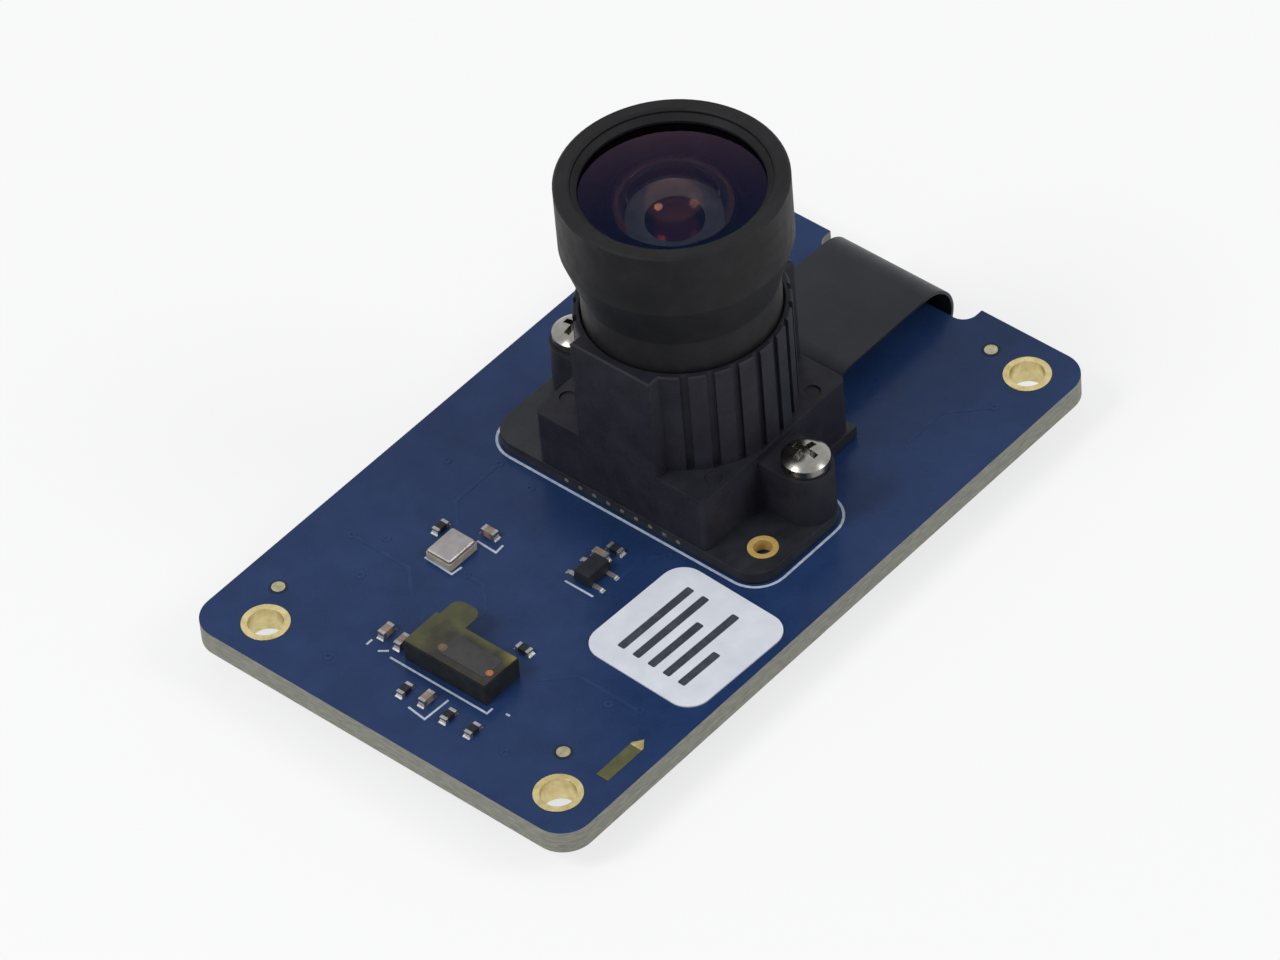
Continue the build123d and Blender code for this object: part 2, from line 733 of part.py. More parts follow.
# Ring that holds the front glass, bevelled inside
with BuildPart() as front_ring:
    with BuildSketch(lens_section):
        ring_top = lens_rim - rim_chamfer - ring_recess
        with BuildLine():
            Polyline(
                (mouth_radius - glass_clearance, ring_top),
                (mouth_radius - glass_clearance, front_seat),
                (front_seat_radius, front_seat),
                (front_seat_radius, front_seat + ring_edge_height),
                (mouth_radius - ring_edge_wall, ring_top),
                close=True,
            )
        make_face()
    revolve(axis=lens_axis)
front_ring.part.label = "front_ring"
export_step(front_ring.part, "parts/front_ring.step")

# Cone ring between the front glass and the barrel's floor
with BuildPart() as cone_ring:
    with BuildSketch(lens_section):
        with BuildLine():
            Polyline(
                (front_glass_radius, front_edge_bottom),
                (front_glass_radius, front_floor),
                (cone_ring_throat / 2, front_floor),
                (cone_ring_throat / 2, front_floor + cone_throat_height),
                (cone_ring_mouth / 2, front_edge_bottom),
                close=True,
            )
        make_face()
    revolve(axis=lens_axis)
cone_ring.part.label = "cone_ring"
export_step(cone_ring.part, "parts/cone_ring.step")

# Rear group, stacked down from the barrel's lip
rear_glass_radius = rear_bore_radius - glass_clearance
second_top = lip_bottom
second_bottom = second_top - second_edge_thickness
stop_bottom = second_bottom - stop_thickness
third_bottom = stop_bottom - third_edge_thickness
rear_spacer_bottom = third_bottom - rear_spacer_thickness
rear_bottom = rear_spacer_bottom - rear_edge_thickness
rear_ring_bottom = rear_bottom - rear_ring_thickness


def dome_lines(top, bottom, radius, clear_half):
    """Half section of a glass with a flat rim and a domed front."""
    TangentArc((0, top + sag(radius, clear_half)), (clear_half, top), tangent=(1, 0))
    Polyline((clear_half, top), (rear_glass_radius, top), (rear_glass_radius, bottom), (0, bottom))
    Line((0, bottom), (0, top + sag(radius, clear_half)))


def ring_lines(top, bottom, aperture):
    """Half section of a plain ring in the rear bore."""
    Polyline(
        (aperture / 2, top),
        (rear_glass_radius, top),
        (rear_glass_radius, bottom),
        (aperture / 2, bottom),
        close=True,
    )


with BuildPart() as second_glass:
    with BuildSketch(lens_section):
        with BuildLine():
            dome_lines(second_top, second_bottom, second_front_radius, second_half)
        make_face()
    revolve(axis=lens_axis)
second_glass.part.label = "second_glass"
export_step(second_glass.part, "parts/second_glass.step")

with BuildPart() as aperture_stop:
    with BuildSketch(lens_section):
        with BuildLine():
            Polyline(
                (stop_aperture / 2, second_bottom),
                (rear_glass_radius, second_bottom),
                (rear_glass_radius, stop_bottom),
                (third_half + stop_hollow_margin, stop_bottom),
                (third_half + stop_hollow_margin, second_bottom - stop_plate),
                (stop_aperture / 2, second_bottom - stop_plate),
                close=True,
            )
        make_face()
    revolve(axis=lens_axis)
aperture_stop.part.label = "aperture_stop"
export_step(aperture_stop.part, "parts/aperture_stop.step")

with BuildPart() as third_glass:
    with BuildSketch(lens_section):
        with BuildLine():
            dome_lines(stop_bottom, third_bottom, third_front_radius, third_half)
        make_face()
    revolve(axis=lens_axis)
third_glass.part.label = "third_glass"
export_step(third_glass.part, "parts/third_glass.step")

with BuildPart() as rear_spacer:
    with BuildSketch(lens_section):
        with BuildLine():
            ring_lines(third_bottom, rear_spacer_bottom, rear_spacer_aperture)
        make_face()
    revolve(axis=lens_axis)
rear_spacer.part.label = "rear_spacer"
export_step(rear_spacer.part, "parts/rear_spacer.step")

with BuildPart() as rear_glass:
    with BuildSketch(lens_section):
        with BuildLine():
            dome_lines(rear_spacer_bottom, rear_bottom, rear_front_radius, rear_half)
        make_face()
    revolve(axis=lens_axis)
rear_glass.part.label = "rear_glass"
export_step(rear_glass.part, "parts/rear_glass.step")

with BuildPart() as rear_ring:
    with BuildSketch(lens_section):
        with BuildLine():
            ring_lines(rear_bottom, rear_ring_bottom, rear_ring_aperture)
        make_face()
    revolve(axis=lens_axis)
rear_ring.part.label = "rear_ring"
export_step(rear_ring.part, "parts/rear_ring.step")

# Flex tail: out of the sensor board, up, along, round the fold in the notch and back under the board
flex_section = Plane(origin=(0, lens_y, 0), x_dir=(1, 0, 0), z_dir=(0, -1, 0))
flex_start_x = lens_x + sensor_board_back - flex_embedded
flex_leave_x = lens_x + sensor_board_back
flex_top_level = board_top + flex_run_height
flex_under_level = -mated_height - flex_thickness / 2
fold_radius = (flex_top_level - flex_under_level) / 2
fold_x = flex_fold_reach - flex_thickness / 2 - fold_radius
rise_x = flex_leave_x + flex_rise_length / 2
rise_middle = (flex_middle + flex_top_level) / 2
rise_slope = 2 * atan2(flex_top_level - flex_middle, flex_rise_length)
rise_tangent = (cos(rise_slope), sin(rise_slope))
flex_end_x = receptacle_x - stiffener_length / 2
with BuildPart() as flex_tail:
    with BuildSketch(flex_section):
        with BuildLine():
            Line((flex_start_x, flex_middle), (flex_leave_x, flex_middle))
            TangentArc((flex_leave_x, flex_middle), (rise_x, rise_middle), tangent=(1, 0))
            TangentArc((rise_x, rise_middle), (flex_leave_x + flex_rise_length, flex_top_level), tangent=rise_tangent)
            Line((flex_leave_x + flex_rise_length, flex_top_level), (fold_x, flex_top_level))
            CenterArc((fold_x, (flex_top_level + flex_under_level) / 2), fold_radius, 90, -180)
            Line((fold_x, flex_under_level), (flex_end_x, flex_under_level))
        trace(line_width=flex_thickness)
    extrude(amount=flex_width / 2, both=True)
flex_tail.part.label = "flex_tail"
export_step(flex_tail.part, "parts/flex_tail.step")

with BuildPart() as flex_stiffener:
    with BuildSketch(Plane.XY.offset(flex_under_level - flex_thickness / 2 - stiffener_thickness)):
        with Locations((receptacle_x, lens_y)):
            Rectangle(stiffener_length, flex_width)
    extrude(amount=stiffener_thickness)
flex_stiffener.part.label = "flex_stiffener"
export_step(flex_stiffener.part, "parts/flex_stiffener.step")

# Receptacle on the board, its feet, and the plug under the flex that sits in its well
with BuildPart() as board_receptacle:
    with BuildSketch(Plane.XY.offset(-receptacle_size[2])):
        with Locations((receptacle_x, lens_y)):
            Rectangle(receptacle_size[0], receptacle_size[1])
    extrude(amount=receptacle_size[2])
    with BuildSketch(Plane.XY.offset(-receptacle_size[2])):
        with Locations((receptacle_x, lens_y)):
            Rectangle(receptacle_well[0], receptacle_well[1])
    extrude(amount=receptacle_well[2], mode=Mode.SUBTRACT)
board_receptacle.part.label = "board_receptacle"
export_step(board_receptacle.part, "parts/board_receptacle.step")

with BuildPart() as receptacle_feet:
    with BuildSketch(Plane.XY.offset(-receptacle_foot[2])):
        with Locations((receptacle_x, lens_y)):
            with GridLocations(receptacle_size[0] + receptacle_foot[0], pin_spacing, 2, receptacle_pins_per_side):
                Rectangle(receptacle_foot[0], receptacle_foot[1])
    extrude(amount=receptacle_foot[2])
receptacle_feet.part.label = "receptacle_feet"
export_step(receptacle_feet.part, "parts/receptacle_feet.step")

plug_depth = mated_height - receptacle_size[2] + receptacle_well[2]
with BuildPart() as flex_plug:
    with BuildSketch(Plane.XY.offset(-mated_height)):
        with Locations((receptacle_x, lens_y)):
            Rectangle(receptacle_well[0] - 2 * plug_clearance, receptacle_well[1] - 2 * plug_clearance)
    extrude(amount=plug_depth)
flex_plug.part.label = "flex_plug"
export_step(flex_plug.part, "parts/flex_plug.step")

# Ribbon connector: housing open to the -X edge, contacts in its floor, tabs at its ends
contact_row = (ribbon_ways - 1) * pin_spacing
ribbon_mouth = contact_row + 2 * ribbon_end_gap
ribbon_width = ribbon_mouth + 2 * ribbon_end_wall
ribbon_rear_x = ribbon_entry_x + ribbon_depth
housing_front_x = ribbon_entry_x + slider_bar + slider_clearance
housing_length = ribbon_rear_x - housing_front_x
housing_middle_x = (housing_front_x + ribbon_rear_x) / 2
tongue_top = ribbon_floor + ribbon_slot
cavity_bottom = tongue_top + tongue_thickness + slider_clearance
arm_middle = tongue_top + tongue_thickness / 2
groove_depth_y = arm_thickness + slider_clearance
groove_height = arm_height + 2 * slider_clearance
hook_front_x = housing_front_x + arm_length - hook_length
pocket_front_x = hook_front_x - slider_travel - slider_clearance
pocket_length = hook_length + slider_travel + 2 * slider_clearance
contact_front_x = housing_front_x + contact_front_gap
slot_width = contact_width + 2 * contact_slot_clearance
ribbon_y = lens_y
with BuildPart() as ribbon_housing:
    with BuildSketch(Plane.XY.offset(-ribbon_height)):
        with Locations((housing_middle_x, ribbon_y)):
            Rectangle(housing_length, ribbon_width)
    extrude(amount=ribbon_height)
    with BuildSketch(Plane.XY.offset(-cavity_bottom)):
        with Locations((housing_front_x + ribbon_cavity_depth / 2, ribbon_y)):
            Rectangle(ribbon_cavity_depth, ribbon_mouth)
    extrude(amount=cavity_bottom - ribbon_floor, mode=Mode.SUBTRACT)
    with BuildSketch(Plane.XY.offset(-ribbon_floor)):
        with Locations(((contact_front_x + ribbon_rear_x) / 2, ribbon_y)):
            with GridLocations(1, pin_spacing, 1, ribbon_ways):
                Rectangle(ribbon_rear_x - contact_front_x, slot_width)
    extrude(amount=ribbon_floor, mode=Mode.SUBTRACT)
    with BuildSketch(Plane.XY.offset(-arm_middle - groove_height / 2)):
        with Locations((housing_front_x + (arm_length + slider_clearance) / 2, ribbon_y)):
            with GridLocations(1, ribbon_width - groove_depth_y, 1, 2):
                Rectangle(arm_length + slider_clearance, groove_depth_y)
        with Locations((pocket_front_x + pocket_length / 2, ribbon_y)):
            with GridLocations(1, ribbon_width - 2 * groove_depth_y - hook_reach, 1, 2):
                Rectangle(pocket_length, hook_reach)
    extrude(amount=groove_height, mode=Mode.SUBTRACT)
ribbon_housing.part.label = "ribbon_housing"
export_step(ribbon_housing.part, "parts/ribbon_housing.step")

beam_bottom = -contact_beam_height - contact_beam_thickness
contact_planes = [
    Plane(origin=(0, ribbon_y + (way - (ribbon_ways - 1) / 2) * pin_spacing, 0), x_dir=(1, 0, 0), z_dir=(0, -1, 0))
    for way in range(ribbon_ways)
]
with BuildPart() as ribbon_contacts:
    with BuildSketch(*contact_planes):
        with BuildLine():
            Polyline(
                (contact_front_x + contact_play, beam_bottom),
                (contact_front_x + contact_play, -contact_beam_height),
                (ribbon_rear_x - contact_beam_thickness, -contact_beam_height),
                (ribbon_rear_x - contact_beam_thickness, 0),
                (ribbon_rear_x + contact_tail_length, 0),
                (ribbon_rear_x + contact_tail_length, -contact_beam_thickness),
                (ribbon_rear_x, -contact_beam_thickness),
                (ribbon_rear_x, beam_bottom),
                close=True,
            )
        make_face()
    extrude(amount=contact_width / 2, both=True)
ribbon_contacts.part.label = "ribbon_contacts"
export_step(ribbon_contacts.part, "parts/ribbon_contacts.step")

with BuildPart() as ribbon_tabs:
    with BuildSketch(Plane.XY.offset(-tab_size[2])):
        with Locations(((ribbon_entry_x + ribbon_rear_x) / 2, ribbon_y)):
            with GridLocations(1, ribbon_width + tab_size[1], 1, 2):
                Rectangle(tab_size[0], tab_size[1])
    extrude(amount=tab_size[2])
ribbon_tabs.part.label = "ribbon_tabs"
export_step(ribbon_tabs.part, "parts/ribbon_tabs.step")

# Slider that locks the ribbon: bar, tongue under the ribbon, arms with hooks, finger tabs; shown shut
arm_middle_y = ribbon_width - arm_thickness
hook_middle_y = ribbon_width - 2 * arm_thickness - hook_reach + slider_clearance
with BuildPart() as ribbon_slider:
    with BuildSketch(Plane.XY.offset(-ribbon_height + slider_clearance)):
        with Locations((ribbon_entry_x + slider_bar / 2, ribbon_y)):
            Rectangle(slider_bar, ribbon_width)
    extrude(amount=ribbon_height - slider_clearance - tongue_top)
    with BuildSketch(Plane.XY.offset(-tongue_top - tongue_thickness)):
        with Locations((housing_front_x + tongue_length / 2 - slider_bar / 4, ribbon_y)):
            Rectangle(tongue_length + slider_bar / 2, ribbon_mouth - 2 * slider_clearance)
    extrude(amount=tongue_thickness)
    with BuildSketch(Plane.XY.offset(-arm_middle - arm_height / 2)):
        arm_total = slider_bar + slider_clearance + arm_length
        with Locations((ribbon_entry_x + arm_total / 2, ribbon_y)):
            with GridLocations(1, arm_middle_y, 1, 2):
                Rectangle(arm_total, arm_thickness)
        with Locations((hook_front_x + hook_length / 2, ribbon_y)):
            with GridLocations(1, hook_middle_y, 1, 2):
                Rectangle(hook_length, hook_reach - slider_clearance)
        with Locations((ribbon_entry_x + finger_tab[0] / 2, ribbon_y)):
            with GridLocations(1, ribbon_width + finger_tab[1], 1, 2):
                Rectangle(finger_tab[0], finger_tab[1])
    extrude(amount=arm_height)
    bar_edges = ribbon_slider.edges().filter_by(Axis.Y).group_by(Axis.X)[0]
    chamfer(bar_edges, slider_bar_chamfer)
ribbon_slider.part.label = "ribbon_slider"
export_step(ribbon_slider.part, "parts/ribbon_slider.step")
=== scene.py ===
import bpy
import bmesh
import math
from mathutils import Matrix, Vector


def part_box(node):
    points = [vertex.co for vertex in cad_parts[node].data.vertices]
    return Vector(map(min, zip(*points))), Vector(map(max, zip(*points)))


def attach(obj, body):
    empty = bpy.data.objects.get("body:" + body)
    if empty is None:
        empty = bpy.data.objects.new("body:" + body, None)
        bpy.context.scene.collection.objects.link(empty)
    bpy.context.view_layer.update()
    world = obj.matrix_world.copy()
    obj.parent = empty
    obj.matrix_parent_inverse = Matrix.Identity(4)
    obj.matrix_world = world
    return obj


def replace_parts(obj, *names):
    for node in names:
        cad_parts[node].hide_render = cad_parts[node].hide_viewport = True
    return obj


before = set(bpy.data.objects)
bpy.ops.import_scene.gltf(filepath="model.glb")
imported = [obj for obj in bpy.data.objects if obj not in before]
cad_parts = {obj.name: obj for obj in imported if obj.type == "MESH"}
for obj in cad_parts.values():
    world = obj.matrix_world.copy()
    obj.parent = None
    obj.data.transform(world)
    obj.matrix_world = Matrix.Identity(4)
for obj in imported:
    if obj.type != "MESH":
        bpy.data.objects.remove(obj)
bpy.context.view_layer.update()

MM = 0.001
scene = bpy.context.scene
scene.view_settings.view_transform = "Standard"

# Places shared with the CAD, in millimetres, in the frame of the model
BOARD_TOP = 1.6
LENS_X, LENS_Y = 4.4, 0.25
FLOOR_LEVEL = -2.02

# Camera: at the photograph's standpoint, turned to the middle of the module, in millimetres
CAMERA_PLACE = (-246.4716, -238.9870, 339.1732)
CAMERA_AIM = (-0.785, 0.004, 3.648)
CAMERA_UPWARD = (0.58692, 0.44277, 0.67785)
SENSOR_WIDTH = 36.0
FOCAL_LENGTH = 226.0


def place_camera():
    eye = Vector(CAMERA_PLACE) * MM
    aim = Vector(CAMERA_AIM) * MM
    back = (eye - aim).normalized()
    right = Vector(CAMERA_UPWARD).cross(back).normalized()
    up = back.cross(right)
    data = bpy.data.cameras.new("camera")
    data.sensor_width = SENSOR_WIDTH
    data.lens = FOCAL_LENGTH
    data.clip_start = 0.01
    data.clip_end = 20.0
    camera = bpy.data.objects.new("camera", data)
    turn = Matrix((right, up, back)).transposed().to_4x4()
    camera.matrix_world = Matrix.Translation(eye) @ turn
    scene.collection.objects.link(camera)
    scene.camera = camera


place_camera()


# Colour and node helpers
def lin(r, g, b):
    def one(c):
        c /= 255.0
        return c / 12.92 if c <= 0.04045 else ((c + 0.055) / 1.055) ** 2.4
    return (one(r), one(g), one(b), 1.0)


def shader(name, color, rough, metallic=0.0, specular=0.5, ior=1.5, clear=0.0):
    material = bpy.data.materials.new(name)
    material.use_nodes = True
    tree = material.node_tree
    b = tree.nodes["Principled BSDF"]
    b.inputs["Base Color"].default_value = lin(*color)
    b.inputs["Roughness"].default_value = rough
    b.inputs["Metallic"].default_value = metallic
    b.inputs["Specular IOR Level"].default_value = specular
    b.inputs["IOR"].default_value = ior
    b.inputs["Transmission Weight"].default_value = clear
    material.diffuse_color = lin(*color)
    return material, tree, b


def coords(tree, stretch=(1, 1, 1)):
    """Object coordinates in millimetres."""
    place = tree.nodes.new("ShaderNodeTexCoord")
    mapping = tree.nodes.new("ShaderNodeMapping")
    mapping.inputs["Scale"].default_value = [1000.0 * s for s in stretch]
    tree.links.new(place.outputs["Object"], mapping.inputs["Vector"])
    return mapping.outputs["Vector"]


def split_axes(tree, vector):
    node = tree.nodes.new("ShaderNodeSeparateXYZ")
    tree.links.new(vector, node.inputs["Vector"])
    return node.outputs


def noise(tree, vector, scale, octaves=4.0, rough=0.55):
    node = tree.nodes.new("ShaderNodeTexNoise")
    node.inputs["Scale"].default_value = scale
    node.inputs["Detail"].default_value = octaves
    node.inputs["Roughness"].default_value = rough
    tree.links.new(vector, node.inputs["Vector"])
    return node.outputs["Fac"]


def ramp(tree, fac, stops):
    node = tree.nodes.new("ShaderNodeValToRGB")
    while len(node.color_ramp.elements) < len(stops):
        node.color_ramp.elements.new(0.5)
    for element, (position, color) in zip(node.color_ramp.elements, stops):
        element.position = position
        element.color = lin(*color)
    tree.links.new(fac, node.inputs["Fac"])
    return node.outputs["Color"]


def spread(tree, value, low, high, from_low=0.3, from_high=0.7):
    """A value mapped from one range to another."""
    node = tree.nodes.new("ShaderNodeMapRange")
    node.inputs["From Min"].default_value = from_low
    node.inputs["From Max"].default_value = from_high
    node.inputs["To Min"].default_value = low
    node.inputs["To Max"].default_value = high
    tree.links.new(value, node.inputs["Value"])
    return node.outputs["Result"]


def calc(tree, operation, a, b=None):
    node = tree.nodes.new("ShaderNodeMath")
    node.operation = operation
    for socket, value in zip(node.inputs, (a, b)):
        if value is None:
            continue
        if isinstance(value, (int, float)):
            socket.default_value = value
        else:
            tree.links.new(value, socket)
    return node.outputs["Value"]


def blend_colors(tree, fac, a, b):
    node = tree.nodes.new("ShaderNodeMix")
    node.data_type = "RGBA"
    tree.links.new(fac, node.inputs["Factor"])
    sockets = [s for s in node.inputs if s.type == "RGBA"]
    for socket, value in zip(sockets, (a, b)):
        if isinstance(value, tuple):
            socket.default_value = value
        else:
            tree.links.new(value, socket)
    return [s for s in node.outputs if s.type == "RGBA"][0]


def relief(tree, b, height, depth, soften=0.0):
    """Fine relief of this depth, over edges softened by this radius, both in millimetres."""
    bump = tree.nodes.new("ShaderNodeBump")
    bump.inputs["Distance"].default_value = depth * MM
    bump.inputs["Strength"].default_value = 1.0
    tree.links.new(height, bump.inputs["Height"])
    if soften:
        bevel = tree.nodes.new("ShaderNodeBevel")
        bevel.samples = 4
        bevel.inputs["Radius"].default_value = soften * MM
        tree.links.new(bevel.outputs["Normal"], bump.inputs["Normal"])
    tree.links.new(bump.outputs["Normal"], b.inputs["Normal"])


def finish(name, tones, rough, tone_scale, grain, depth, soften=0.0, **looks):
    """A material with mottled tones, uneven roughness and a fine grain."""
    middle = tones[len(tones) // 2]
    material, tree, b = shader(name, middle, (rough[0] + rough[1]) / 2, **looks)
    vector = coords(tree)
    count = len(tones)
    stops = [(0.3 + 0.4 * i / max(count - 1, 1), tone) for i, tone in enumerate(tones)]
    mottle = noise(tree, vector, tone_scale, 5.0)
    tree.links.new(ramp(tree, mottle, stops), b.inputs["Base Color"])
    wear = noise(tree, vector, tone_scale * 2.3, 3.0)
    tree.links.new(spread(tree, wear, *rough), b.inputs["Roughness"])
    relief(tree, b, noise(tree, vector, grain, 3.0, 0.6), depth, soften)
    return material


# Main board: blue solder mask on the faces, layered glass-fibre edge
MASK_TONES = [(0.3, (27, 48, 87)), (0.5, (31, 53, 94)), (0.7, (36, 58, 100))]
MASK_SPECK = (44, 66, 106)
EDGE_TONES = [(0.25, (112, 112, 104)), (0.5, (136, 137, 128)), (0.75, (160, 157, 146))]
LAYER_TONE = (104, 98, 84)
LAYER_PITCH = 0.4


def board_material():
    material, tree, b = shader("blue_board", (31, 53, 94), 0.3, specular=0.16)
    vector = coords(tree)
    mask = ramp(tree, noise(tree, vector, 0.35, 6.0), MASK_TONES)
    speck = spread(tree, noise(tree, vector, 7.0, 2.0), 0.0, 0.3, 0.5, 0.75)
    mask = blend_colors(tree, speck, mask, lin(*MASK_SPECK))
    fibre = noise(tree, coords(tree, (1, 1, 9)), 1.4, 4.0)
    edge = ramp(tree, fibre, EDGE_TONES)
    height = calc(tree, "MULTIPLY", split_axes(tree, vector)["Z"], 1 / LAYER_PITCH)
    within = calc(tree, "SUBTRACT", calc(tree, "FRACT", height), 0.5)
    layer = spread(tree, calc(tree, "ABSOLUTE", within), 0.0, 0.4, 0.42, 0.5)
    edge = blend_colors(tree, layer, edge, lin(*LAYER_TONE))
    geometry = tree.nodes.new("ShaderNodeNewGeometry")
    upright = calc(tree, "ABSOLUTE", split_axes(tree, geometry.outputs["Normal"])["Z"])
    on_face = calc(tree, "GREATER_THAN", upright, 0.5)
    tree.links.new(blend_colors(tree, on_face, edge, mask), b.inputs["Base Color"])
    shine = spread(tree, noise(tree, vector, 1.1, 4.0), 0.25, 0.35)
    dull = calc(tree, "ADD", calc(tree, "MULTIPLY", on_face, -0.4), 0.4)
    tree.links.new(calc(tree, "ADD", shine, dull), b.inputs["Roughness"])
    relief(tree, b, noise(tree, vector, 3.5, 3.0), 0.006, soften=0.05)
    return material


def glass(name, tint, film, rough, ior, clear=1.0, specular=0.5, shine=(1.0, 1.0, 1.0)):
    """Glass whose film, in nanometres, and shine tint what it reflects, on a clear body or on a dark opaque
    body that is painted shade.
    """
    material, tree, b = shader(name, tint, rough, specular=specular, ior=ior, clear=clear)
    b.inputs["Specular Tint"].default_value = (*shine, 1.0)
    b.inputs["Thin Film Thickness"].default_value = film
    b.inputs["Thin Film IOR"].default_value = 1.38
    vector = coords(tree)
    haze = noise(tree, vector, 0.8, 3.0)
    tree.links.new(spread(tree, haze, rough * 0.7, rough * 1.4), b.inputs["Roughness"])
    lighter = tuple(min(255, c + 6) for c in tint)
    tone = ramp(tree, noise(tree, vector, 0.3, 2.0), [(0.3, tint), (0.7, lighter)])
    tree.links.new(tone, b.inputs["Base Color"])
    return material


# Film on the ranging sensor: brown over the package, olive at the tab and along the far side,
# yellowish at one corner; each range is where it fades in
FILM_BROWN = [(0.3, (34, 31, 27)), (0.5, (42, 39, 32)), (0.7, (51, 48, 38))]
FILM_OLIVE = [(0.3, (56, 58, 37)), (0.5, (66, 68, 41)), (0.7, (78, 79, 46))]
FILM_CORNER = (128, 120, 52)
OLIVE_FROM_X = (-16.3, -15.7)
OLIVE_FROM_Y = (1.4, 2.6)
CORNER_FROM_X = (-16.5, -15.8)
CORNER_TO_Y = (-2.9, -1.9)


def film_material():
    material, tree, b = shader("olive_film", (66, 64, 50), 0.34, specular=0.3)
    vector = coords(tree)
    axes = split_axes(tree, vector)
    cloud = noise(tree, vector, 0.9, 3.0)
    along = calc(tree, "ADD", axes["X"], calc(tree, "MULTIPLY", cloud, 0.8))
    across = calc(tree, "ADD", axes["Y"], calc(tree, "MULTIPLY", cloud, 1.2))
    right = spread(tree, along, 0.0, 1.0, *OLIVE_FROM_X)
    far = spread(tree, across, 0.0, 1.0, *OLIVE_FROM_Y)
    olive = calc(tree, "MAXIMUM", right, far)
    tone = blend_colors(tree, olive, ramp(tree, cloud, FILM_BROWN), ramp(tree, cloud, FILM_OLIVE))
    end = spread(tree, along, 0.0, 1.0, *CORNER_FROM_X)
    near = spread(tree, across, 1.0, 0.0, *CORNER_TO_Y)
    corner = calc(tree, "MULTIPLY", end, near)
    tree.links.new(blend_colors(tree, corner, tone, lin(*FILM_CORNER)), b.inputs["Base Color"])
    tree.links.new(spread(tree, noise(tree, vector, 1.6, 3.0), 0.26, 0.4), b.inputs["Roughness"])
    relief(tree, b, noise(tree, vector, 1.4, 2.0), 0.012, 0.03)
    return material


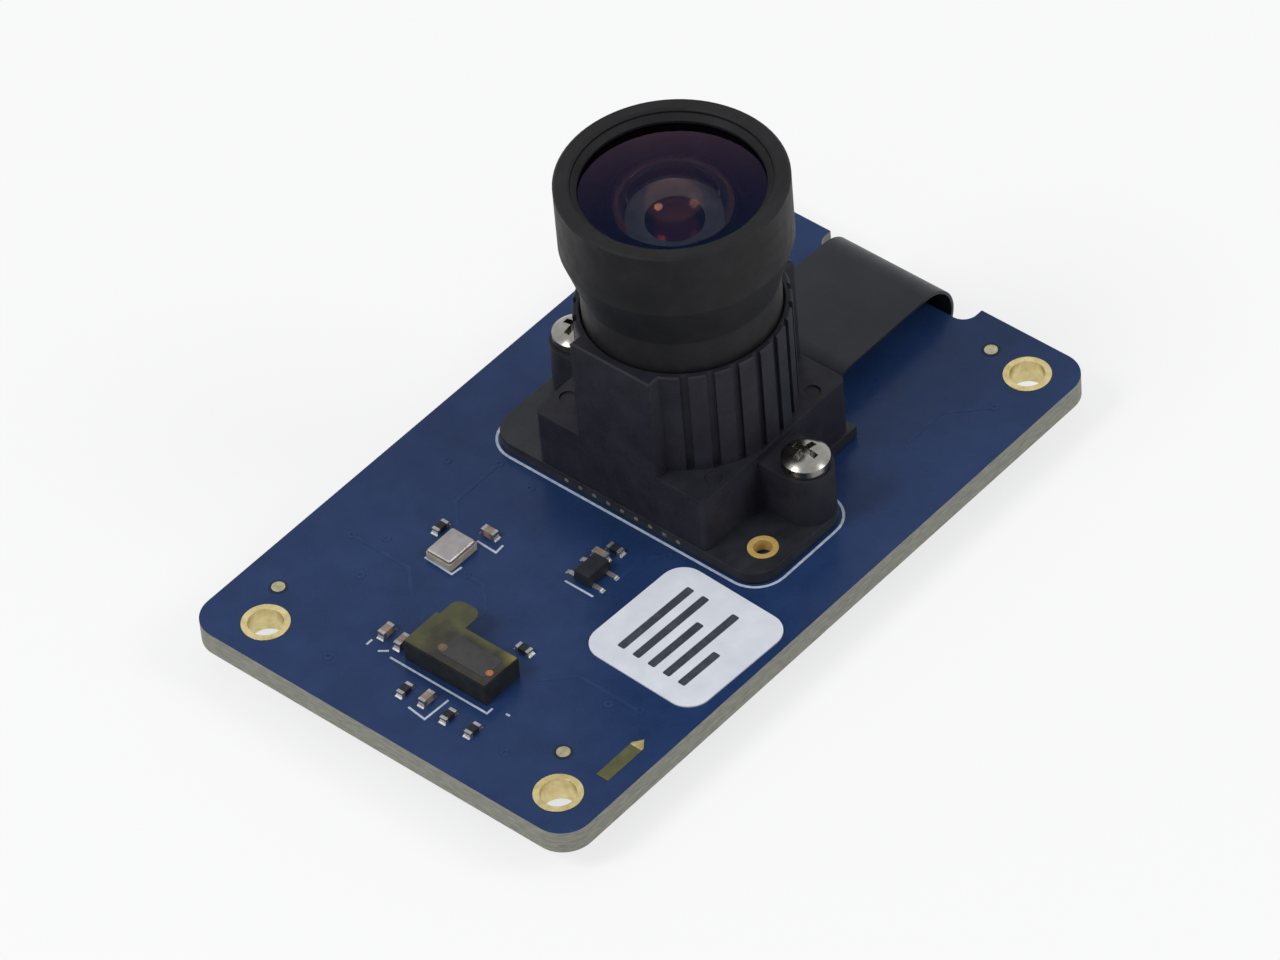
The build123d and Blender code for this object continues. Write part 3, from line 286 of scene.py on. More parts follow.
# Finishes: tones from dark to light, then roughness, scale of the mottling and of the grain, depth of
# the grain and softening of the edges in millimetres
FINISHES = {
    "gold": ([(184, 168, 116), (202, 186, 134), (216, 202, 152)], dict(
        rough=(0.28, 0.45), tone_scale=1.5, grain=9.0, depth=0.004, soften=0.03, metallic=1.0)),
    # Lighter, less metallic copy of the gold for the tooling hole: painted light that brightens a ring lying
    # in the lens's shadow
    "gold_painted_light": ([(224, 186, 104), (238, 200, 118), (248, 214, 138)], dict(
        rough=(0.3, 0.42), tone_scale=1.5, grain=9.0, depth=0.003, soften=0.03, metallic=0.45)),
    "tin": ([(138, 138, 140), (158, 158, 160), (176, 176, 178)], dict(
        rough=(0.34, 0.48), tone_scale=2.0, grain=8.0, depth=0.005, soften=0.03, metallic=0.9)),
    "nickel": ([(142, 138, 138), (153, 149, 150), (166, 161, 161)], dict(
        rough=(0.35, 0.5), tone_scale=1.2, grain=9.0, depth=0.004, soften=0.05, metallic=0.85)),
    "bright_nickel": ([(124, 122, 117), (137, 135, 130), (150, 148, 143)], dict(
        rough=(0.17, 0.26), tone_scale=1.2, grain=4.0, depth=0.0015, soften=0.03, metallic=1.0)),
    "olive_strip": ([(76, 76, 48), (86, 86, 56), (97, 96, 65)], dict(
        rough=(0.4, 0.55), tone_scale=1.4, grain=7.0, depth=0.004, specular=0.3)),
    "cream_gold": ([(152, 146, 118), (170, 164, 136), (186, 180, 154)], dict(
        rough=(0.34, 0.48), tone_scale=3.0, grain=8.0, depth=0.003, soften=0.02, metallic=0.9)),
    "white_sticker": ([(214, 218, 228), (222, 226, 235), (230, 233, 240)], dict(
        rough=(0.5, 0.65), tone_scale=0.5, grain=9.0, depth=0.004, soften=0.03, specular=0.3)),
    "print_grey": ([(52, 56, 66), (62, 66, 76), (74, 78, 88)], dict(
        rough=(0.5, 0.6), tone_scale=2.0, grain=8.0, depth=0.003, specular=0.2)),
    "edge_copper": ([(92, 94, 92), (112, 112, 108), (128, 126, 120)], dict(
        rough=(0.45, 0.6), tone_scale=2.0, grain=7.0, depth=0.004, specular=0.25)),
    "silk": ([(160, 172, 190), (182, 192, 208), (200, 208, 220)], dict(
        rough=(0.55, 0.7), tone_scale=3.0, grain=8.0, depth=0.004, specular=0.25)),
    "black_package": ([(21, 23, 27), (27, 30, 34), (34, 37, 41)], dict(
        rough=(0.5, 0.65), tone_scale=1.2, grain=7.0, depth=0.012, soften=0.05, specular=0.25)),
    "window": ([(44, 44, 46), (52, 52, 54), (60, 60, 60)], dict(
        rough=(0.2, 0.3), tone_scale=0.8, grain=3.0, depth=0.004, soften=0.03, specular=0.3)),
    # Amber for the near port of the ranging sensor: a painted orange reflection of the film
    "amber_painted_reflection": ([(128, 74, 44), (164, 92, 54), (190, 112, 68)], dict(
        rough=(0.3, 0.4), tone_scale=3.0, grain=5.0, depth=0.004)),
    "brown_spot": ([(84, 62, 46), (104, 76, 56), (122, 92, 70)], dict(
        rough=(0.3, 0.4), tone_scale=2.0, grain=5.0, depth=0.004)),
    "grey_ceramic": ([(128, 110, 96), (140, 122, 108), (154, 137, 122)], dict(
        rough=(0.45, 0.6), tone_scale=2.0, grain=7.0, depth=0.006, soften=0.04, specular=0.3)),
    "pale_ceramic": ([(150, 142, 128), (168, 160, 146), (184, 176, 160)], dict(
        rough=(0.5, 0.65), tone_scale=1.4, grain=7.0, depth=0.008, soften=0.05, specular=0.3)),
    "black_board": ([(24, 26, 28), (34, 36, 42), (44, 45, 52)], dict(
        rough=(0.42, 0.56), tone_scale=0.5, grain=4.0, depth=0.008, soften=0.05, specular=0.28)),
    "black_tape": ([(14, 14, 15), (19, 19, 20), (25, 25, 26)], dict(
        rough=(0.6, 0.75), tone_scale=1.5, grain=5.0, depth=0.01, specular=0.2)),
    "sensor_silicon": ([(40, 52, 50), (58, 66, 72), (84, 72, 92)], dict(
        rough=(0.12, 0.2), tone_scale=0.4, grain=8.0, depth=0.002, metallic=0.6)),
    "black_moulding": ([(25, 25, 32), (31, 31, 39), (37, 37, 46)], dict(
        rough=(0.48, 0.6), tone_scale=0.55, grain=5.5, depth=0.012, soften=0.06, specular=0.2)),
    "black_anodised": ([(19, 19, 21), (23, 23, 25), (28, 28, 31)], dict(
        rough=(0.52, 0.62), tone_scale=0.6, grain=7.0, depth=0.006, soften=0.06, specular=0.18)),
    # Light grey for the dark inner cone: painted light that stands in for the light the front glass keeps
    # from it
    "cone_grey_painted_light": ([(84, 83, 81), (90, 89, 87), (96, 95, 93)], dict(
        rough=(0.5, 0.6), tone_scale=0.8, grain=6.0, depth=0.003, soften=0.04, specular=0.3)),
    "black_flex": ([(28, 30, 36), (32, 35, 42), (37, 40, 48)], dict(
        rough=(0.36, 0.46), tone_scale=0.4, grain=1.2, depth=0.003, soften=0.04, specular=0.22)),
    "olive_stiffener": ([(110, 89, 48), (116, 94, 52), (122, 100, 57)], dict(
        rough=(0.38, 0.46), tone_scale=0.8, grain=4.0, depth=0.003, soften=0.04, specular=0.35)),
    "ivory_plastic": ([(205, 196, 175), (209, 200, 179), (213, 205, 184)], dict(
        rough=(0.44, 0.52), tone_scale=0.7, grain=5.0, depth=0.003, soften=0.04, specular=0.35)),
    "dark_slider": ([(38, 32, 28), (48, 41, 36), (60, 52, 46)], dict(
        rough=(0.4, 0.55), tone_scale=0.8, grain=5.0, depth=0.008, soften=0.06, specular=0.3)),
    "mask_ring": ([(22, 30, 46), (28, 38, 56), (36, 46, 66)], dict(
        rough=(0.5, 0.6), tone_scale=2.0, grain=6.0, depth=0.004, specular=0.2)),
    "mask_relief": ([(30, 52, 93), (34, 57, 98), (39, 62, 104)], dict(
        rough=(0.28, 0.38), tone_scale=1.2, grain=5.0, depth=0.005, soften=0.03, specular=0.16)),
}
GLASSES = {
    "clear_glass": dict(tint=(236, 240, 240), film=0.0, rough=0.02, ior=1.5),
    "filter_glass": dict(tint=(196, 214, 214), film=180.0, rough=0.02, ior=1.5),
    "coated_glass": dict(tint=(230, 230, 232), film=130.0, rough=0.004, ior=1.62, shine=(1.0, 0.64, 0.72)),
    # Inner lenses as an opaque near-black body: painted shade for the dark inside of the lens
    "inner_glass_painted_shade": dict(tint=(9, 9, 9), film=0.0, rough=0.05, ior=1.62, clear=0.0, specular=0.12,
                        shine=(1.0, 0.12, 0.15)),
}
LOOKS = {"blue_board": board_material(), "olive_film": film_material()}
for look_name, (look_tones, look_values) in FINISHES.items():
    LOOKS[look_name] = finish(look_name, look_tones, **look_values)
for look_name, look_values in GLASSES.items():
    LOOKS[look_name] = glass(look_name, **look_values)

DRESS = {
    "main_board": "blue_board", "mounting_hole_plating": "gold", "fiducial_dots": "cream_gold",
    "test_strip": "olive_strip", "sticker": "white_sticker", "ranging_sensor": "black_package",
    "ranging_film": "olive_film", "crystal_base": "pale_ceramic", "crystal_lid": "nickel",
    "diode_package": "black_package", "diode_leads": "tin", "capacitor_bodies": "grey_ceramic",
    "capacitor_caps": "tin", "resistor_bodies": "black_package", "resistor_caps": "tin",
    "motion_sensor": "black_package", "voltage_regulators": "black_package", "sensor_board": "black_board",
    # The tooling hole's plating takes the gold copy with painted light
    "sensor_board_tape": "black_tape", "tooling_hole_plating": "gold_painted_light", "image_sensor": "pale_ceramic",
    "sensor_die": "sensor_silicon", "sensor_cover_glass": "clear_glass", "filter_pane": "filter_glass",
    "lens_holder": "black_moulding", "holder_screws": "bright_nickel", "holder_nuts": "bright_nickel",
    "lens_barrel": "black_anodised", "front_glass": "coated_glass", "front_ring": "black_anodised",
    "cone_ring": "cone_grey_painted_light", "second_glass": "inner_glass_painted_shade", "aperture_stop": "black_anodised",
    "third_glass": "inner_glass_painted_shade", "rear_spacer": "black_anodised", "rear_glass": "inner_glass_painted_shade",
    "rear_ring": "black_anodised", "flex_tail": "black_flex", "flex_stiffener": "olive_stiffener",
    "flex_plug": "black_package", "board_receptacle": "black_package", "receptacle_feet": "tin",
    "ribbon_housing": "ivory_plastic", "ribbon_contacts": "tin", "ribbon_tabs": "tin",
    "ribbon_slider": "dark_slider",
}
for node_name, choice in DRESS.items():
    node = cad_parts[node_name]
    if not node.data.materials:
        node.data.materials.append(LOOKS[choice])
    for place in node.material_slots:
        place.material = LOOKS[choice]

# Mesh helpers: shapes are drawn in millimetres
SHARP_ANGLE = 35.0
THREAD_SINK = 0.03


def piece(name, draw, material, body="module"):
    bm = bmesh.new()
    draw(bm)
    bmesh.ops.scale(bm, vec=(MM, MM, MM), verts=bm.verts)
    bmesh.ops.recalc_face_normals(bm, faces=bm.faces)
    mesh = bpy.data.meshes.new(name)
    bm.to_mesh(mesh)
    bm.free()
    mesh.materials.append(LOOKS[material])
    for polygon in mesh.polygons:
        polygon.use_smooth = True
    mesh.set_sharp_from_angle(angle=math.radians(SHARP_ANGLE))
    item = bpy.data.objects.new(name, mesh)
    scene.collection.objects.link(item)
    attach(item, body)
    return item


def slab(bm, outline, low, high, place=None):
    """A plate of this outline between two levels."""
    place = place or Matrix.Identity(4)
    lower = [bm.verts.new(place @ Vector((x, y, low))) for x, y in outline]
    upper = [bm.verts.new(place @ Vector((x, y, high))) for x, y in outline]
    bm.faces.new(lower[::-1])
    bm.faces.new(upper)
    count = len(outline)
    for i in range(count):
        j = (i + 1) % count
        bm.faces.new((lower[i], lower[j], upper[j], upper[i]))


def spot(x, y, radius, count=24):
    angles = [2 * math.pi * i / count for i in range(count)]
    return [(x + radius * math.cos(a), y + radius * math.sin(a)) for a in angles]


def arc(cx, cy, radius, start, end, steps=8):
    angles = [math.radians(start + (end - start) * i / steps) for i in range(steps + 1)]
    return [(cx + radius * math.cos(a), cy + radius * math.sin(a)) for a in angles]


def plate(x, y, length, width, turn=0.0, corner=0.0, steps=4):
    """Outline of a rectangle, its corners rounded if asked."""
    a, b = length / 2, width / 2
    points = []
    if corner:
        for cx, cy, start in ((a, b, 0), (-a, b, 90), (-a, -b, 180), (a, -b, 270)):
            sx, sy = math.copysign(a - corner, cx), math.copysign(b - corner, cy)
            points += arc(sx, sy, corner, start, start + 90, steps)
    else:
        points = [(a, b), (-a, b), (-a, -b), (a, -b)]
    c, s = math.cos(math.radians(turn)), math.sin(math.radians(turn))
    return [(x + c * px - s * py, y + s * px + c * py) for px, py in points]


def close_tube(bm, rings, closed):
    """Faces between rings of the same size, with end caps unless the row is closed."""
    size = len(rings[0])
    followers = rings[1:] + rings[:1] if closed else rings[1:]
    for one, two in zip(rings, followers):
        for k in range(size):
            n = (k + 1) % size
            bm.faces.new((one[k], one[n], two[n], two[k]))
    if not closed:
        bm.faces.new(rings[0])
        bm.faces.new(rings[-1][::-1])


def ribbon(bm, path, width, low, high, closed=False):
    """A flat line of even width along a path, with mitred corners."""
    points = [Vector(p) for p in path]
    count = len(points)
    rings = []
    for i, p in enumerate(points):
        directions = []
        if closed or i > 0:
            directions.append((p - points[i - 1]).normalized())
        if closed or i < count - 1:
            directions.append((points[(i + 1) % count] - p).normalized())
        mean = sum(directions, Vector((0, 0))).normalized()
        side = Vector((-mean.y, mean.x))
        reach = width / 2 / max(0.35, abs(mean.dot(directions[0])))
        a, b = p + side * reach, p - side * reach
        corners = ((a.x, a.y, low), (a.x, a.y, high), (b.x, b.y, high), (b.x, b.y, low))
        rings.append([bm.verts.new(corner) for corner in corners])
    close_tube(bm, rings, closed)


def turned(bm, cx, cy, profile, count=64):
    """A closed profile of radius and height turned round an upright axis."""
    rings = []
    for i in range(count):
        a = 2 * math.pi * i / count
        rings.append([bm.verts.new((cx + r * math.cos(a), cy + r * math.sin(a), z)) for r, z in profile])
    close_tube(bm, rings, True)


def thread(bm, cx, cy, root, crest, low, high, pitch, count):
    """A thread ridge that winds up a round shank and runs out at both ends."""
    turns = (high - low - pitch) / pitch
    steps = int(turns * count)
    foot = root - THREAD_SINK
    rings = []
    for i in range(steps + 1):
        t = i / steps
        a = 2 * math.pi * turns * t
        z = low + pitch / 2 + pitch * turns * t
        fade = min(1.0, t * turns * 4, (1 - t) * turns * 4)
        top = root + (crest - root) * max(fade, 0.02)
        c, s = math.cos(a), math.sin(a)
        section = ((foot, -pitch * 0.4), (top, -pitch * 0.06), (top, pitch * 0.06), (foot, pitch * 0.4))
        rings.append([bm.verts.new((cx + r * c, cy + r * s, z + dz)) for r, dz in section])
    close_tube(bm, rings, False)


def fillet_strip(bm, x, y, turn, reach, width, height, level, upward=1):
    """A concave solder fillet that runs out from (x, y) along the turn."""
    profile = [(0.0, 0.0), (reach, 0.0), (reach * 0.55, height * 0.16), (reach * 0.25, height * 0.42),
               (0.0, height)]
    a = math.radians(turn)
    along = Vector((math.cos(a), math.sin(a), 0))
    side = Vector((-math.sin(a), math.cos(a), 0))
    start = Vector((x, y, level))
    rows = []
    for sign in (-1, 1):
        row = []
        for u, v in profile:
            pinch = 1.0 - 0.25 * (v / height)
            offset = side * (sign * width / 2 * pinch)
            row.append(bm.verts.new(start + along * u + offset + Vector((0, 0, upward * v))))
        rows.append(row)
    close_tube(bm, rows, False)


# Print on the top of the board: the line round the sensor board, and marks beside the parts
INK = 0.015
OUTLINE_WIDTH = 0.17
MARK_WIDTH = 0.14
OUTLINE_BACK = LENS_X - 6.92
OUTLINE_END = LENS_X + 2.1
OUTLINE_SIDE = 11.0
OUTLINE_WAIST = 7.12
OUTLINE_CORNER = 2.1
TOP_MARKS = [
    [(-19.45, 3.64), (-19.45, -3.98), (-18.95, -3.98)],
    [(-18.8, -5.2), (-18.8, -4.9)],
    [(-11.98, 7.53), (-12.09, 5.28), (-11.28, 5.20)],
    [(-9.08, 5.92), (-9.14, 4.36), (-8.42, 4.42)],
    [(-19.5, 5.46), (-19.0, 5.47)],
    [(-19.5, 4.56), (-19.1, 4.05)],
    [(-21.84, 0.05), (-22.0, -1.36), (-20.0, -1.46)],
    [(-8.45, -0.5), (-8.45, -2.7)],
]


def top_silk(bm):
    low, high = BOARD_TOP, BOARD_TOP + INK
    r = OUTLINE_CORNER
    near, far = LENS_Y - OUTLINE_SIDE + r, LENS_Y + OUTLINE_SIDE - r
    outline = [(OUTLINE_END, LENS_Y + OUTLINE_WAIST)]
    outline += arc(OUTLINE_END - r, far, r, 0, 90)
    outline += arc(OUTLINE_BACK + r, far, r, 90, 180)
    outline += arc(OUTLINE_BACK + r, near, r, 180, 270)
    outline += arc(OUTLINE_END - r, near, r, 270, 360)
    outline += [(OUTLINE_END, LENS_Y - OUTLINE_WAIST)]
    ribbon(bm, outline, OUTLINE_WIDTH, low, high)
    for line in TOP_MARKS:
        ribbon(bm, line, MARK_WIDTH, low, high)


piece("silk_lines_top", top_silk, "silk")

# Print on the underside: frames as (x, y, length, width) round the connectors, packages and chips
PACKAGE_FRAMES = [(-19.9, LENS_Y, 8.4, 18.6), (-8.2, 0.25, 3.6, 3.1), (-2.6, 0.2, 1.8, 6.6),
                  (17.3, LENS_Y, 5.4, 9.4)]
CHIP_FRAMES = [(-12.5, 5.2, 0.9, 1.5), (-12.5, -5.2, 0.9, 1.5), (-12.5, 2.6, 0.9, 1.5),
               (-12.5, -2.6, 0.9, 1.5), (12.4, 5.4, 0.9, 1.5), (12.4, -4.9, 0.9, 1.5)]
PIN_DOTS = [(-15.4, 9.2), (-9.6, 2.1), (14.2, 5.2)]
PIN_DOT_RADIUS = 0.22
PACKAGE_FRAME_WIDTH, CHIP_FRAME_WIDTH = 0.12, 0.08


def under_silk(bm):
    low, high = -INK, 0.0
    for x, y, length, width in PACKAGE_FRAMES:
        ribbon(bm, plate(x, y, length, width), PACKAGE_FRAME_WIDTH, low, high, closed=True)
    for x, y in PIN_DOTS:
        slab(bm, spot(x, y, PIN_DOT_RADIUS, 20), low, high)
    for x, y, length, width in CHIP_FRAMES:
        ribbon(bm, plate(x, y, length, width), CHIP_FRAME_WIDTH, low, high, closed=True)


piece("silk_lines_under", under_silk, "silk")

# Mask openings round the fiducial dots
FIDUCIALS = [(-19.1, 12.9), (-19.1, -9.6), (22.1, -8.4)]
OPENING_INNER, OPENING_OUTER = 0.44, 0.6
OPENING_TOP = BOARD_TOP + 0.012


def mask_rings(bm):
    section = [(OPENING_INNER, BOARD_TOP), (OPENING_OUTER, BOARD_TOP), (OPENING_OUTER, OPENING_TOP),
               (OPENING_INNER, OPENING_TOP)]
    for x, y in FIDUCIALS:
        turned(bm, x, y, section, 32)


piece("fiducial_openings", mask_rings, "mask_ring")

# Solder at the ends of the chips, which are given as (x, y, turn)
TOP_CAPACITORS = [(-8.25, 5.6, 90), (-5.7, -0.95, 90), (-18.1, 5.1, 0), (-18.2, 3.75, 0), (-20.8, -0.5, 0)]
TOP_RESISTORS = [(-9.6, 8.35, 0), (-4.75, -1.3, 90), (-21.0, 1.05, 0), (-21.05, -2.4, 0), (-21.05, -4.3, 0),
                 (-14.3, -2.4, 90)]
UNDER_CAPACITORS = [(-12.5, 5.2, 90), (-12.5, -5.2, 90), (-6.5, 5.6, 0), (-6.5, -5.4, 0), (0.5, 3.4, 90),
                    (0.5, -3.0, 90), (12.4, 5.4, 90), (12.4, -4.9, 90)]
UNDER_RESISTORS = [(-12.5, 2.6, 90), (-12.5, -2.6, 90), (-3.2, 5.6, 0), (-3.2, -5.4, 0), (10.6, 5.4, 90),
                   (10.6, -4.9, 90)]
CHIP_LENGTH, CHIP_FILLET_WIDTH = 1.0, 0.5 + 0.04
CHIP_FILLET_REACH = 0.17
CAPACITOR_FILLET, RESISTOR_FILLET = 0.24, 0.18


def chip_solder(bm):
    for chips, height, level, upward in (
            (TOP_CAPACITORS, CAPACITOR_FILLET, BOARD_TOP, 1), (TOP_RESISTORS, RESISTOR_FILLET, BOARD_TOP, 1),
            (UNDER_CAPACITORS, CAPACITOR_FILLET, 0.0, -1), (UNDER_RESISTORS, RESISTOR_FILLET, 0.0, -1)):
        for x, y, turn in chips:
            for facing in (turn, turn + 180):
                a = math.radians(facing)
                ex, ey = x + math.cos(a) * CHIP_LENGTH / 2, y + math.sin(a) * CHIP_LENGTH / 2
                fillet_strip(bm, ex, ey, facing, CHIP_FILLET_REACH, CHIP_FILLET_WIDTH, height, level, upward)


piece("chip_solder", chip_solder, "tin")

# Solder on the leads of the four-lead package, the ribbon socket's contacts and tabs, and the
# receptacle's feet; each fillet is (reach, width, height)
DIODE_X, DIODE_Y = -7.1, -1.5
LEAD_SPACING, LEAD_REACH = 0.65, 1.255
CONTACT_PITCH = 0.5
RIBBON_WAYS, RIBBON_FOOT_X = 22, -16.2
TAB_X, TAB_REACH = -19.6, 8.35 + 0.8
FOOT_COUNT, FOOT_X, FOOT_REACH = 12, 17.3, 1.75
LEAD_FILLET = (0.22, 0.36, 0.1)
CONTACT_FILLET = (0.3, 0.22, 0.16)
TAB_FILLET = (0.3, 1.7, 0.18)
FOOT_FILLET = (0.18, 0.22, 0.1)


def row_places(count):
    return [LENS_Y + (i - (count - 1) / 2) * CONTACT_PITCH for i in range(count)]


def lead_solder(bm):
    for dx in (-LEAD_SPACING, LEAD_SPACING):
        for side in (-1, 1):
            y = DIODE_Y + side * LEAD_REACH
            fillet_strip(bm, DIODE_X + dx, y, 90 * side, *LEAD_FILLET, BOARD_TOP)
    for y in row_places(RIBBON_WAYS):
        fillet_strip(bm, RIBBON_FOOT_X, y, 0, *CONTACT_FILLET, 0.0, -1)
    for side in (-1, 1):
        fillet_strip(bm, TAB_X, LENS_Y + side * TAB_REACH, 90 * side, *TAB_FILLET, 0.0, -1)
    for side in (-1, 1):
        for y in row_places(FOOT_COUNT):
            fillet_strip(bm, FOOT_X + side * FOOT_REACH, y, 90 - 90 * side, *FOOT_FILLET, 0.0, -1)


piece("lead_solder", lead_solder, "tin")

# Copper tracks and vias under the mask, seen as low ridges
TRACK_WIDTH, TRACK_HEIGHT = 0.24, 0.01
TRACK_RUNS = [
    [(-15.6, -4.6), (-13.9, -6.3), (-13.9, -10.9)],
    [(-15.6, 1.6), (-13.2, 1.6), (-11.6, 3.2), (-11.6, 4.4)],
    [(-9.6, 6.9), (-7.3, 9.2), (-3.4, 9.2)],
    [(-6.3, -3.0), (-4.2, -3.0), (-3.2, -4.0)],
    [(-14.9, 6.0), (-13.2, 7.7), (-13.2, 12.2)],
    [(12.6, 9.6), (15.4, 9.6), (17.0, 11.2)],
    [(12.8, -9.4), (16.0, -9.4), (18.2, -11.6)],
]
VIAS = [(-13.9, -11.0), (-11.6, 4.5), (-3.3, 9.2), (-3.2, -4.1), (-13.2, 12.3), (17.1, 11.3), (18.3, -11.7),
        (-15.4, 9.6), (-12.2, 10.4), (-14.6, -9.2), (-21.6, 6.6), (-21.2, -6.9), (-3.8, 6.3), (-5.0, 11.9)]
VIA_HOLE, VIA_FOOT, VIA_CREST = 0.12, 0.3, 0.28
VIA_HEIGHT = TRACK_HEIGHT + 0.01


def tracks(bm):
    low, high = BOARD_TOP, BOARD_TOP + TRACK_HEIGHT
    for run in TRACK_RUNS:
        ribbon(bm, run, TRACK_WIDTH, low, high)
    top = BOARD_TOP + VIA_HEIGHT
    for x, y in VIAS:
        turned(bm, x, y, [(VIA_HOLE, low), (VIA_FOOT, low), (VIA_CREST, top), (VIA_HOLE, top)], 20)


piece("masked_tracks", tracks, "mask_relief")

# Olive strip: gold tip at its +X end
STRIP_END, STRIP_MIDDLE = -17.4 + 1.9, -12.75
STRIP_TOP = BOARD_TOP + 0.04
TIP_BACK, TIP_SHOULDER, TIP_POINT, TIP_SIDE = 0.78, 0.62, 0.04, 0.43
TIP_THICKNESS = 0.015


def strip_tip(bm):
    near, far = STRIP_MIDDLE - TIP_SIDE, STRIP_MIDDLE + TIP_SIDE
    back, shoulder = STRIP_END - TIP_BACK, STRIP_END - TIP_SHOULDER
    point = (STRIP_END - TIP_POINT, STRIP_MIDDLE)
    outline = [(back, near), (shoulder, near), point, (shoulder, far), (back, far)]
    slab(bm, outline, STRIP_TOP, STRIP_TOP + TIP_THICKNESS)


piece("strip_tip", strip_tip, "gold")

# Sticker: a row of plain bars
STICKER_X, STICKER_Y = -7.7, -9.3
STICKER_TURN = -2.0
STICKER_TOP = BOARD_TOP + 0.1
BAR_LENGTHS = (6.2, 6.2, 4.4, 6.2, 3.2)
BAR_WIDTH, BAR_PITCH, FIRST_BAR = 0.55, 1.2, 2.4
BAR_CORNER, BAR_THICKNESS = 0.1, 0.01


def label_bars(bm):
    c, s = math.cos(math.radians(STICKER_TURN)), math.sin(math.radians(STICKER_TURN))
    for row, length in enumerate(BAR_LENGTHS):
        u, v = (length - BAR_LENGTHS[0]) / 2, FIRST_BAR - row * BAR_PITCH
        x, y = STICKER_X + c * u - s * v, STICKER_Y + s * u + c * v
        outline = plate(x, y, length, BAR_WIDTH, STICKER_TURN, BAR_CORNER, 2)
        slab(bm, outline, STICKER_TOP, STICKER_TOP + BAR_THICKNESS)


piece("label_bars", label_bars, "print_grey")

# Ranging sensor: window in the film and the two ports; the near port's amber colour is a painted orange
# reflection of the film
PACKAGE_TOP = BOARD_TOP + 1.5
WINDOW_LEVEL, WINDOW_THICKNESS = PACKAGE_TOP + 0.08, 0.02
PORT_LEVEL, PORT_THICKNESS = PACKAGE_TOP + 0.1, 0.012
WINDOW_PLACE, WINDOW_SIZE = (-17.6, -1.25), (1.7, 3.6)
WINDOW_CORNER = 0.12
NEAR_PORT_REFLECTION = (-17.97, -3.05, 0.24)
FAR_PORT = (-18.05, 0.55, 0.3)


def ranging_window(bm):
    outline = plate(*WINDOW_PLACE, *WINDOW_SIZE, 0.0, WINDOW_CORNER, 3)
    slab(bm, outline, WINDOW_LEVEL, WINDOW_LEVEL + WINDOW_THICKNESS)


def near_port_reflection(bm):
    slab(bm, spot(*NEAR_PORT_REFLECTION), PORT_LEVEL, PORT_LEVEL + PORT_THICKNESS)


def far_port(bm):
    slab(bm, spot(*FAR_PORT), PORT_LEVEL, PORT_LEVEL + PORT_THICKNESS)


piece("ranging_window", ranging_window, "window")
# Near port: an amber disc that is a painted reflection
piece("ranging_port_near_painted_reflection", near_port_reflection, "amber_painted_reflection")
piece("ranging_port_far", far_port, "brown_spot")

# Inner cone of the lens, as wide as it shows through the front glass, coloured light grey as painted light
# for the light the glass keeps from it: (radius, height above its foot)
CONE_STEPS = [(2.75, 0.0), (2.75, 0.2), (3.0, 0.5), (3.5, 1.2)]
CONE_MOUTH_RADIUS = 3.7


def inner_cone(bm):
    low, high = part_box("cone_ring")
    radius, floor, top = (high[0] - low[0]) / 2 / MM, low[2] / MM, high[2] / MM
    profile = [(radius, top), (radius, floor)]
    profile += [(step_radius, floor + height) for step_radius, height in CONE_STEPS]
    profile += [(CONE_MOUTH_RADIUS, top)]
    turned(bm, LENS_X, LENS_Y, profile, 96)


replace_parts(piece("inner_cone", inner_cone, "cone_grey_painted_light"), "cone_ring")

# Threads on the ends of the holder screws
SCREW_REACH = 9.0
THREAD_ROOT, THREAD_CREST, THREAD_PITCH = 0.79, 0.86, 0.2
THREAD_LOW, THREAD_HIGH = -1.86, -1.28
THREAD_STEPS = 32


def screw_threads(bm):
    for side in (-1, 1):
        thread(bm, LENS_X, LENS_Y + side * SCREW_REACH, THREAD_ROOT, THREAD_CREST, THREAD_LOW, THREAD_HIGH,
               THREAD_PITCH, THREAD_STEPS)


piece("screw_threads", screw_threads, "bright_nickel")

# Sensor board: plated marks along its edge toward -X
EDGE_X, EDGE_MIDDLE = LENS_X - 6.7, 2.1
EDGE_MARK_COUNT, EDGE_MARK_PITCH = 9, 1.1
EDGE_MARK_SIZE, EDGE_MARK_CORNER, EDGE_MARK_THICKNESS = (0.24, 0.3), 0.06, 0.012


def edge_marks(bm):
    upright = Matrix.Rotation(math.radians(-90), 4, "Y")
    outline = plate(0, 0, *EDGE_MARK_SIZE, 0.0, EDGE_MARK_CORNER, 2)
    for i in range(EDGE_MARK_COUNT):
        y = LENS_Y + (i - (EDGE_MARK_COUNT - 1) / 2) * EDGE_MARK_PITCH
        place = Matrix.Translation((EDGE_X, y, EDGE_MIDDLE)) @ upright
        slab(bm, outline, 0.0, EDGE_MARK_THICKNESS, place)


piece("sensor_board_edge_marks", edge_marks, "edge_copper")

# Floor, light of the surroundings and lamps
FLOOR_REACH = 3.0
FLOOR_TONE = 0.93
FLOOR_GLOW = 0.72
SKY_TINT = (0.97, 0.985, 1.0, 1)
SKY_STRENGTH = 0.45
LAMP_AIM = (0.0, 0.0, 0.004)
# Name, place and power of each lamp, and the size of its disc, in metres and watts
LAMPS = (("key", (-0.45, 0.15, 0.55), 2.1, 0.26), ("fill", (0.25, -0.5, 0.45), 1.3, 0.32))


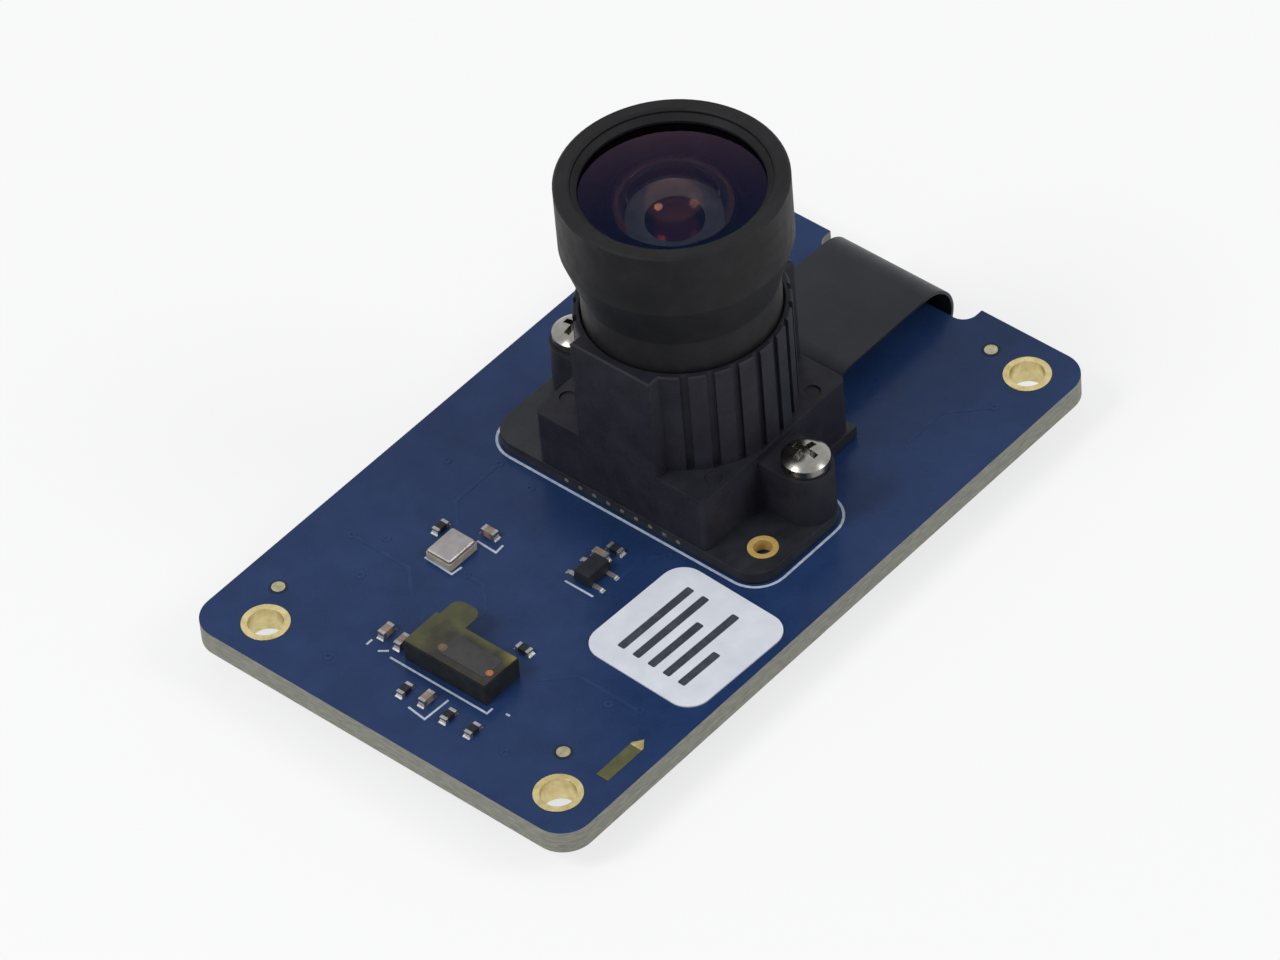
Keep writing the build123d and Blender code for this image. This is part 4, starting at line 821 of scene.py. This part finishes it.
def stage_floor():
    mesh = bpy.data.meshes.new("floor")
    bm = bmesh.new()
    bmesh.ops.create_grid(bm, x_segments=1, y_segments=1, size=FLOOR_REACH)
    bm.to_mesh(mesh)
    bm.free()
    floor = bpy.data.objects.new("floor", mesh)
    floor.location.z = FLOOR_LEVEL * MM
    scene.collection.objects.link(floor)
    material = bpy.data.materials.new("floor_white")
    material.use_nodes = True
    tree = material.node_tree
    tree.nodes.clear()
    out = tree.nodes.new("ShaderNodeOutputMaterial")
    matte = tree.nodes.new("ShaderNodeBsdfDiffuse")
    matte.inputs["Color"].default_value = (FLOOR_TONE, FLOOR_TONE, FLOOR_TONE, 1)
    glow = tree.nodes.new("ShaderNodeEmission")
    glow.inputs["Strength"].default_value = 1.0
    path = tree.nodes.new("ShaderNodeLightPath")
    seen = calc(tree, "MAXIMUM", path.outputs["Is Glossy Ray"], path.outputs["Is Transmission Ray"])
    straight = calc(tree, "MULTIPLY", path.outputs["Is Camera Ray"], FLOOR_GLOW)
    mix = tree.nodes.new("ShaderNodeMixShader")
    tree.links.new(calc(tree, "MAXIMUM", seen, straight), mix.inputs["Fac"])
    tree.links.new(matte.outputs["BSDF"], mix.inputs[1])
    tree.links.new(glow.outputs["Emission"], mix.inputs[2])
    tree.links.new(mix.outputs["Shader"], out.inputs["Surface"])
    mesh.materials.append(material)


def world_light():
    world = bpy.data.worlds.new("studio")
    scene.world = world
    world.use_nodes = True
    tree = world.node_tree
    tree.nodes.clear()
    out = tree.nodes.new("ShaderNodeOutputWorld")
    soft = tree.nodes.new("ShaderNodeBackground")
    soft.inputs["Color"].default_value = SKY_TINT
    soft.inputs["Strength"].default_value = SKY_STRENGTH
    white = tree.nodes.new("ShaderNodeBackground")
    white.inputs["Color"].default_value = (1, 1, 1, 1)
    white.inputs["Strength"].default_value = 1.0
    path = tree.nodes.new("ShaderNodeLightPath")
    mirrored = calc(tree, "MAXIMUM", path.outputs["Is Glossy Ray"], path.outputs["Is Transmission Ray"])
    seen = calc(tree, "MAXIMUM", path.outputs["Is Camera Ray"], mirrored)
    mix = tree.nodes.new("ShaderNodeMixShader")
    tree.links.new(seen, mix.inputs["Fac"])
    tree.links.new(soft.outputs["Background"], mix.inputs[1])
    tree.links.new(white.outputs["Background"], mix.inputs[2])
    tree.links.new(mix.outputs["Shader"], out.inputs["Surface"])


def lamp(name, position, power, size):
    data = bpy.data.lights.new(name, "AREA")
    data.shape = "DISK"
    data.size = size
    data.energy = power
    item = bpy.data.objects.new(name, data)
    item.location = position
    direction = Vector(LAMP_AIM) - Vector(position)
    item.rotation_euler = direction.to_track_quat("-Z", "Y").to_euler()
    scene.collection.objects.link(item)


stage_floor()
world_light()
for lamp_values in LAMPS:
    lamp(*lamp_values)
